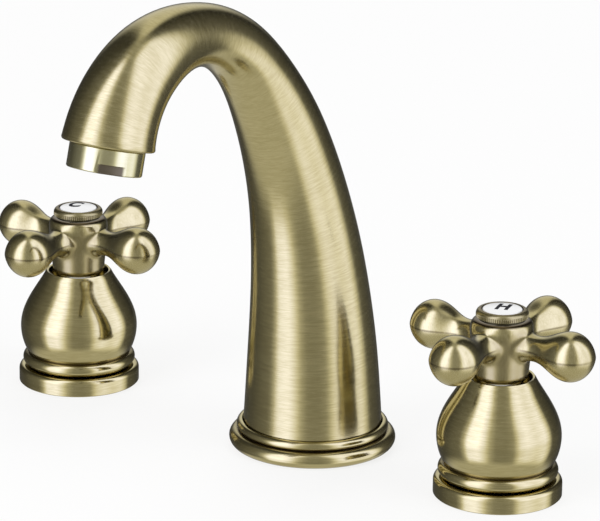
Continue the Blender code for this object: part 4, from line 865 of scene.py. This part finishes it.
handle = {
    "foot": 44.8, "top": 67.6, "footRadius": 10.2, "footRound": 1.6, "waist": 11.0, "swell": 0.15,
    "shoulder": 11.7, "shoulderDrop": 3.2, "crown": 2.4, "armHeight": castLook["armHeight"],
    "root": 9.0, "rootRadius": 6.8, "neck": 15.5, "neckRadius": 5.4, "lobeCentre": 30.0,
    "lobeRadius": 9.3, "seam": 1.1, "voxel": 0.36, "smoothing": 14, "rootSmoothing": 90,
    "rootReach": 17.0, "rootMargins": (3.0, 1.5),
    "bores": ((8.7, 63.9), (5.4, 60.8), (2.3, 59.3), (4.8, 50.5), (7.4, 44.8)),
}


def hubOutline():
    h = handle
    shoulder = h["top"] - h["shoulderDrop"]
    outline = [(0, h["top"])]
    for i in range(9):
        angle = math.radians(90 * i / 8)
        outline.append((h["shoulder"] - h["crown"] + h["crown"] * math.sin(angle),
                        shoulder + h["shoulderDrop"] * math.cos(angle)))
    middle = (shoulder + h["foot"]) / 2
    outline += [(h["waist"] + h["swell"], (shoulder + middle) / 2), (h["waist"], middle)]
    edge = h["footRound"]
    foot = arc(h["footRadius"] - edge, h["foot"] + edge, edge, 0, -90, 4)
    return outline + foot + [(0, h["foot"])]


def armOutline():  # from the lobe's tip down its neck to the root in the hub
    h = handle
    tip = arc(0, h["lobeCentre"], h["lobeRadius"], 90, 0, 24)
    outline = [(0, h["lobeCentre"] + h["lobeRadius"])] + tip[1:]
    for step in range(1, 25):
        share = 1 - step / 24
        swell = math.sin(share * math.pi / 2) ** 2
        outline.append((h["neckRadius"] + (h["lobeRadius"] - h["neckRadius"]) * swell,
                        h["neck"] + (h["lobeCentre"] - h["neck"]) * share))
    for step in range(1, 13):
        share = step / 12
        outline.append((h["neckRadius"] + (h["rootRadius"] - h["neckRadius"]) * share ** 2,
                        h["neck"] + (h["root"] - h["neck"]) * share))
    return outline + [(0, h["root"])]


def makeArm():  # two shifted halves that meet in a faint parting line round the lobe
    h = handle
    arm = laid(turned("arm", armOutline()), turn=(0, 90, 0))
    other = laid(copied(arm), z=h["seam"])
    carve(laid(arm, z=-h["seam"]), other, 'INTERSECT')
    arm.scale = (1, 1 + h["seam"] ** 2 / h["lobeRadius"] ** 2 / 2,
                 h["lobeRadius"] / (h["lobeRadius"] - h["seam"]))
    return laid(arm, z=h["armHeight"])


def makeHandle(side):
    h = handle
    hub = turned(side + "Handle", hubOutline(), 128)
    arm = makeArm()
    joined(hub, arm, *(laid(copied(arm), turn=(0, 0, 90 * i)) for i in range(1, 4)))
    remeshed(hub, h["voxel"])
    modify(hub, 'SMOOTH', factor=0.5, iterations=h["smoothing"])
    low, high = h["foot"] + h["rootMargins"][0], h["top"] - h["rootMargins"][1]
    near = [v.index for v in hub.data.vertices
            if v.co.xy.length < h["rootReach"] * mm and low < v.co.z / mm < high]
    hub.vertex_groups.new(name="roots").add(near, 1.0, 'REPLACE')
    modify(hub, 'SMOOTH', factor=0.5, iterations=h["rootSmoothing"], vertex_group="roots")
    steps = h["bores"]
    above, below = h["top"] + 2, h["foot"] - 2
    drill = [(0, above), (steps[0][0], above)]
    for (radius, floor), (nextRadius, _) in zip(steps, steps[1:]):
        drill += [(radius, floor), (nextRadius, floor)]
    drill += [(steps[-1][0], below), (0, below)]
    carve(hub, turned("handleBores", drill, 64))
    keepLathe(hub)
    handIn(laid(hub, valveX(side)), side + "_cross_handle", "cast")


indexRing = {
    "radius": 9.7, "foot": 67.9, "height": 3.5, "wallTop": 69.6, "wallEdge": 0.25, "gap": 0.6,
    "overhang": 0.8, "spigot": 8.4, "spigotLength": 3.4, "buttonBore": 7.6, "buttonEdge": 0.15,
    "rim": 0.35, "stemBore": 6.3, "seat": 1.7, "teeth": 76, "toothDepth": 0.4,
}


def ringOutline():
    n = indexRing
    top, wallFoot = n["foot"] + n["height"], n["foot"] + n["gap"]
    inset, seat = n["radius"] - n["overhang"], top - n["seat"]
    under, rim = n["foot"] - n["spigotLength"], n["buttonBore"] + n["rim"]
    outline = [(n["buttonBore"] + n["buttonEdge"], top)]
    for i in range(6):  # the shoulder rounds down from the button to the knurled wall
        angle = math.radians(18 * i)
        outline.append((rim + (n["radius"] - rim) * math.sin(angle),
                        n["wallTop"] + (top - n["wallTop"]) * math.cos(angle)))
    return outline + [
        (n["radius"], wallFoot + n["wallEdge"]), (n["radius"] - n["wallEdge"], wallFoot),
        (inset, wallFoot), (inset, n["foot"]), (n["spigot"], n["foot"]), (n["spigot"], under),
        (n["stemBore"], under), (n["stemBore"], seat), (n["buttonBore"], seat),
        (n["buttonBore"], top - n["buttonEdge"])]


def cutKnurl(obj):  # every third upright of the wall is pushed in
    step = math.tau / indexRing["teeth"]

    def inFlute(vertex):
        angle = math.atan2(vertex.co.y, vertex.co.x) % step
        onWall = abs(vertex.co.xy.length - indexRing["radius"] * mm) < 0.01 * mm
        return onWall and min(angle, step - angle) < step * 0.1

    selectWhere(obj, 'VERT', inFlute)
    shrink = 1 - indexRing["toothDepth"] / indexRing["radius"]
    bpy.ops.transform.resize(value=(shrink, shrink, 1), center_override=(0, 0, 0))
    bpy.ops.object.mode_set(mode='OBJECT')
    keepLathe(obj)


button = {
    "radius": 7.3, "dome": 0.4, "edge": 0.4, "thickness": 1.4, "stemRadius": 6.0, "stem": 2.6,
}


def makeIndex(side):
    knurled = turned(side + "IndexRing", ringOutline(), indexRing["teeth"] * 3)
    cutKnurl(knurled)
    handIn(laid(knurled, valveX(side)), side + "_index_ring", "knurled", 25)

    b = button
    top = indexRing["foot"] + indexRing["height"]
    seat = top - b["thickness"]
    flat = b["radius"] - b["edge"]
    outline = [(flat * i / 12, top + b["dome"] * (1 - (i / 12) ** 2)) for i in range(12)]
    outline += arc(flat, top - b["edge"], b["edge"], 90, 0, 4)
    outline += [(b["radius"], seat), (b["stemRadius"], seat), (b["stemRadius"], seat - b["stem"]),
                (0, seat - b["stem"])]
    disc = laid(turned(side + "IndexButton", outline), valveX(side))
    handIn(disc, side + "_index_button", "porcelain")
    makeLetter(side, top)


letter = {
    "size": 9.4, "wide": 0.77, "bold": 0.42, "turn": 25.5, "raise": 0.06, "thickness": 0.4,
    "slant": 0.18, "azimuth": 37.7, "voxel": 0.1, "back": {"left": 2.7, "right": 1.1},
    "aside": {"left": -0.9, "right": 0.5},
}


def makeLetter(side, top):
    clearSelection()
    bpy.ops.object.text_add()
    text = bpy.context.object
    text.data.body = sides[side]["letter"]
    text.data.align_x, text.data.align_y = 'CENTER', 'CENTER'
    text.data.size = letter["size"] * mm
    text.data.shear = letter["slant"]
    text.data.offset = letter["bold"] * mm
    text.data.extrude = letter["thickness"] / 2 * mm
    text.data.resolution_u = 8
    bpy.ops.object.convert(target='MESH')
    mark = bpy.context.object
    mark.name = side + "IndexLetter"
    middle = sum((Vector(corner) for corner in mark.bound_box), Vector()) / 8 / mm
    laid(mark, -middle.x, -middle.y)
    mark.scale.x = letter["wide"]
    laid(mark)
    remeshed(mark, letter["voxel"])
    place = heading(letter["azimuth"] + 90) * letter["aside"][side]
    place -= heading(letter["azimuth"]) * letter["back"][side]
    laid(mark, place.x, place.y, turn=(0, 0, letter["turn"]))
    flat = (button["radius"] - button["edge"]) * mm
    lift = (letter["raise"] - letter["thickness"] / 2) * mm
    for vertex in mark.data.vertices:  # laid on the button's dome
        sag = button["dome"] * mm * (1 - (vertex.co.xy.length / flat) ** 2)
        vertex.co.z += top * mm + sag + lift
    laid(mark, valveX(side))
    bpy.ops.object.shade_smooth_by_angle(angle=math.radians(35))
    mark.data.materials.append(finishes["ink"])
    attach(mark, sides[side]["handle"])


# Under the deck

nutCut = {"edge": 0.25, "face": 0.3, "past": 0.6, "over": 0.1, "lead": 0.8}


def hexNut(name, flats, bore, low, high, chamfer, wide=None):  # wide: a bore from below, its top
    corner = flats / 2 / math.cos(math.pi / 6)
    clearSelection()
    bpy.ops.mesh.primitive_cylinder_add(vertices=6, radius=corner * mm, depth=(high - low) * mm,
                                        location=(0, 0, (high + low) / 2 * mm))
    nut = bpy.context.object
    nut.name = name
    bpy.ops.object.transform_apply(location=True)
    softenEdges(nut, nutCut["edge"])
    face, past = flats / 2 - nutCut["face"], corner + nutCut["past"]
    above, below = high + nutCut["over"], low - nutCut["over"]
    lens = [(0, above), (face, above), (past, high - chamfer), (past, low + chamfer),
            (face, below), (0, below)]
    carve(nut, turned("nutChamfer", lens), 'INTERSECT')
    lead = nutCut["lead"]  # the bore's own chamfer
    drill = [(0, high + 1), (bore + lead, high + 1), (bore + lead, high), (bore, high - lead)]
    if wide:
        drill += [(bore, wide[1]), wide]
        bore = wide[0]
    drill += [(bore, low + lead), (bore + lead, low), (bore + lead, low - 1), (0, low - 1)]
    carve(nut, turned("nutBore", drill, 72))
    keepLathe(nut)
    return nut


fixing = {
    "deck": 12.0, "rubber": 3.0, "steel": 1.5, "gap": 0.3, "nutHeight": 6.0, "nutChamfer": 1.6,
    "valve": {"bore": 13.5, "washer": 21.0, "flats": 36.0},
    "spout": {"bore": 10.7, "washer": 19.0, "flats": 30.0},
}


def makeFixings(prefix, x, kind):
    f, k = fixing, fixing[kind]
    low = -f["deck"] - f["rubber"]
    rubber = laid(ring(prefix + "RubberWasher", k["bore"], k["washer"], low, -f["deck"], 0.4), x)
    handIn(rubber, prefix + "_rubber_washer", "rubber")
    low -= f["gap"]
    steel = laid(ring(prefix + "SteelWasher", k["bore"], k["washer"], low - f["steel"], low), x)
    handIn(steel, prefix + "_steel_washer", "steel")
    low -= f["steel"] + f["gap"]
    foot = low - f["nutHeight"]
    nut = laid(hexNut(prefix + "LockNut", k["flats"], k["bore"], foot, low, f["nutChamfer"]), x)
    handIn(nut, prefix + "_lock_nut", "rawBrass")


def sidePort(name, radius, start, end, height, edge=0.8):  # a stub pointing along +X
    stub = turned(name, [(0, end), (radius - edge, end), (radius, end - edge), (radius, start),
                         (0, start)], 64)
    return alongX(stub, height)


valveBody = {
    "neckTop": 21.0, "neckBottom": -30.0, "neckRadius": 13.2, "chamber": 10.7,
    "chamberFloor": -54.0, "barrel": 15.5, "barrelBottom": -62.0, "chamfer": 1.5, "inlet": 10.4,
    "inletBottom": -78.0, "inletBore": 4.5, "inletEdge": 0.8, "smallEdge": 0.5, "seat": -9.0,
    "seatTube": 7.3, "threadDepth": 1.0, "portRadius": 8.3, "portBore": 5.3, "portEnd": 28.0,
    "portHeight": -48.0, "portSunk": 1.1, "neckThread": (-27.8, 20.0),
    "inletThread": (-76.8, -64.0), "portThread": (18.5, 27.2),
}


def makeValveBody(side):
    v = valveBody
    core, pin = v["neckRadius"] - v["threadDepth"], v["inlet"] - v["threadDepth"]
    edge, small = v["inletEdge"], v["smallEdge"]
    neck = [(v["chamber"], v["neckTop"]), (core, v["neckTop"]), (core, v["neckBottom"])]
    barrel = [(v["barrel"] - small, v["neckBottom"]), (v["barrel"], v["neckBottom"] - small),
              (v["barrel"], v["barrelBottom"] + v["chamfer"]),
              (v["barrel"] - v["chamfer"], v["barrelBottom"])]
    inlet = [(pin, v["barrelBottom"]), (pin, v["inletBottom"] + edge),
             (pin - edge, v["inletBottom"]), (v["inletBore"] + small, v["inletBottom"]),
             (v["inletBore"], v["inletBottom"] + small)]
    seat = [(v["inletBore"], v["seat"]), (v["seatTube"], v["seat"]),
            (v["seatTube"], v["chamberFloor"]), (v["chamber"], v["chamberFloor"])]
    body = turned(side + "ValveBody", neck + barrel + inlet + seat, 72)
    start = (v["chamber"] + v["barrel"]) / 2 - v["portSunk"]
    boreStart = (v["seatTube"] + v["chamber"]) / 2
    end, height = v["portEnd"], v["portHeight"]
    stub = v["portRadius"] - threads["port"][1]
    carve(body, sidePort("outletPort", stub, start, end, height), 'UNION')
    carve(body, sidePort("outletBore", v["portBore"], boreStart, end + 2, height, 0))
    keepLathe(body)
    port = screwThread("portThread", "port", v["portRadius"], *v["portThread"])
    joined(body, alongX(port, height),
           screwThread("neckThread", "wide", v["neckRadius"], *v["neckThread"]),
           screwThread("inletThread", "wide", v["inlet"], *v["inletThread"]))
    laid(body, turn=(0, 0, 0 if valveX(side) < 0 else 180))
    handIn(laid(body, valveX(side)), side + "_valve_body", "rawBrass", 30)


shank = {
    "radius": 10.4, "bore": 7.0, "top": 15.0, "bottom": -37.7, "edge": 0.8, "threadDepth": 1.0,
    "threadTop": 2.0, "runOut": 1.0, "thread": (-29.0, 2.4),
}
tee = {
    "radius": 13.6, "socket": 10.7, "top": -28.0, "floor": -38.0, "bottom": -58.0,
    "chamfer": 2.0, "bore": 7.0, "portHeight": -48.0, "portRadius": 8.3, "portBore": 5.3,
    "portEnd": 30.0, "portThread": (17.0, 29.2),
}


def makeShank():
    k = shank
    core, low = k["radius"] - k["threadDepth"], tee["top"] - k["runOut"]
    outline = [(k["bore"], k["top"]), (k["radius"] - k["edge"], k["top"]),
               (k["radius"], k["top"] - k["edge"]), (k["radius"], k["threadTop"] + k["runOut"]),
               (core, k["threadTop"]), (core, low), (k["radius"], low - k["runOut"]),
               (k["radius"], k["bottom"] + k["edge"]), (k["radius"] - k["edge"], k["bottom"]),
               (k["bore"], k["bottom"])]
    body = turned("spoutShank", outline, 72)
    joined(body, screwThread("shankThread", "wide", k["radius"], *k["thread"]))
    handIn(body, "spout_shank", "rawBrass", 30)


def makeTee():
    t = tee
    collar = t["radius"] - t["chamfer"]
    outline = [(0, t["portHeight"]), (t["bore"], t["portHeight"]), (t["bore"], t["floor"]),
               (t["socket"], t["floor"]), (t["socket"], t["top"]), (collar, t["top"]),
               (t["radius"], t["top"] - t["chamfer"]), (t["radius"], t["bottom"] + t["chamfer"]),
               (collar, t["bottom"]), (0, t["bottom"])]
    body = turned("teeConnector", outline, 72)
    start, end, height = (t["bore"] + t["radius"]) / 2, t["portEnd"], t["portHeight"]
    stub = t["portRadius"] - threads["port"][1]
    for turn in (0, 180):
        port = laid(sidePort("teePort", stub, start, end, height), turn=(0, 0, turn))
        carve(body, port, 'UNION')
    bore, past = t["portBore"], end + 2
    drill = turned("teeBore", [(0, past), (bore, past), (bore, -past), (0, -past)], 64)
    carve(body, alongX(drill, height))
    keepLathe(body)
    for turn in (0, 180):
        thread = screwThread("teeThread", "port", t["portRadius"], *t["portThread"])
        joined(body, laid(alongX(thread, height), turn=(0, 0, turn)))
    handIn(body, "tee_connector", "rawBrass", 30)


pipe = {
    "radius": 5.0, "wall": 0.8, "insert": 8.0, "olive": 6.6, "oliveLength": 3.6,
    "oliveTaper": 1.0, "gap": 0.3, "nutFlats": 22.0, "nutGrip": 6.0, "nutWeb": 2.2,
    "nutBore": 8.6, "nutChamfer": 1.2,
}


def makePipe(side):
    p = pipe
    way = 1 if valveX(side) > 0 else -1
    height, near = tee["portHeight"], tee["portEnd"]
    far = abs(valveX(side)) - valveBody["portEnd"]
    outline = [(p["radius"], far + p["insert"])]
    for top in (far - p["gap"], near + p["gap"] + p["oliveLength"]):
        foot = top - p["oliveLength"]
        outline += [(p["radius"], top), (p["olive"], top - p["oliveTaper"]),
                    (p["olive"], foot + p["oliveTaper"]), (p["radius"], foot)]
    bore, low = p["radius"] - p["wall"], near - p["insert"]
    outline += [(p["radius"], low), (bore, low), (bore, far + p["insert"])]
    obj = alongX(turned(side + "ConnectingPipe", outline, 48), height, way)
    handIn(obj, side + "_connecting_pipe", "copper")

    shoulder = p["oliveLength"] + 2 * p["gap"]
    for end, name, flip in ((near, "tee_nut", 0), (far, "outlet_nut", 180)):
        nut = hexNut(side + name, p["nutFlats"], tee["portBore"], -p["nutGrip"],
                     shoulder + p["nutWeb"], p["nutChamfer"], (p["nutBore"], shoulder))
        laid(nut, turn=(flip, 0, 0))
        handIn(alongX(laid(nut, z=end), height, way), f"{side}_{name}", "rawBrass")


inner = {  # solids that stay as they are in the frame, and their finish
    "headwork": "innerBrass", "headwork_washer": "fibre", "seat_seal": "rubber",
    "fixed_disc": "ceramic", "moving_disc": "ceramic", "spindle": "innerBrass",
    "spindle_seal_ring": "rubber", "spindle_clip": "innerSteel", "handle_screw": "innerSteel",
    "aerator_insert": "plastic", "aerator_washer": "rubber",
}


def finishInner():
    for side in ("left_", "right_", ""):
        for node, finish in inner.items():
            solid = frame["nodes"].get(side + node)
            if solid:
                solid.data.materials.clear()
                solid.data.materials.append(finishes[finish])
                solid.visible_glossy = False


makeSpout()
makeBaseRing()
makeAerator()
print("spout, ring and aerator done")
for side in sides:
    makeFlange(side)
    makeBell(side)
    makeHandle(side)
    makeIndex(side)
    makeValveBody(side)
    makeFixings(side, valveX(side), "valve")
    makePipe(side)
    print(side, "valve done")
makeShank()
makeTee()
makeFixings("spout", 0, "spout")
finishInner()
print("under the deck done")

placeCamera()
lightStudio()
paintWorld()
layFloor()
bpy.context.scene.view_settings.view_transform = 'Standard'
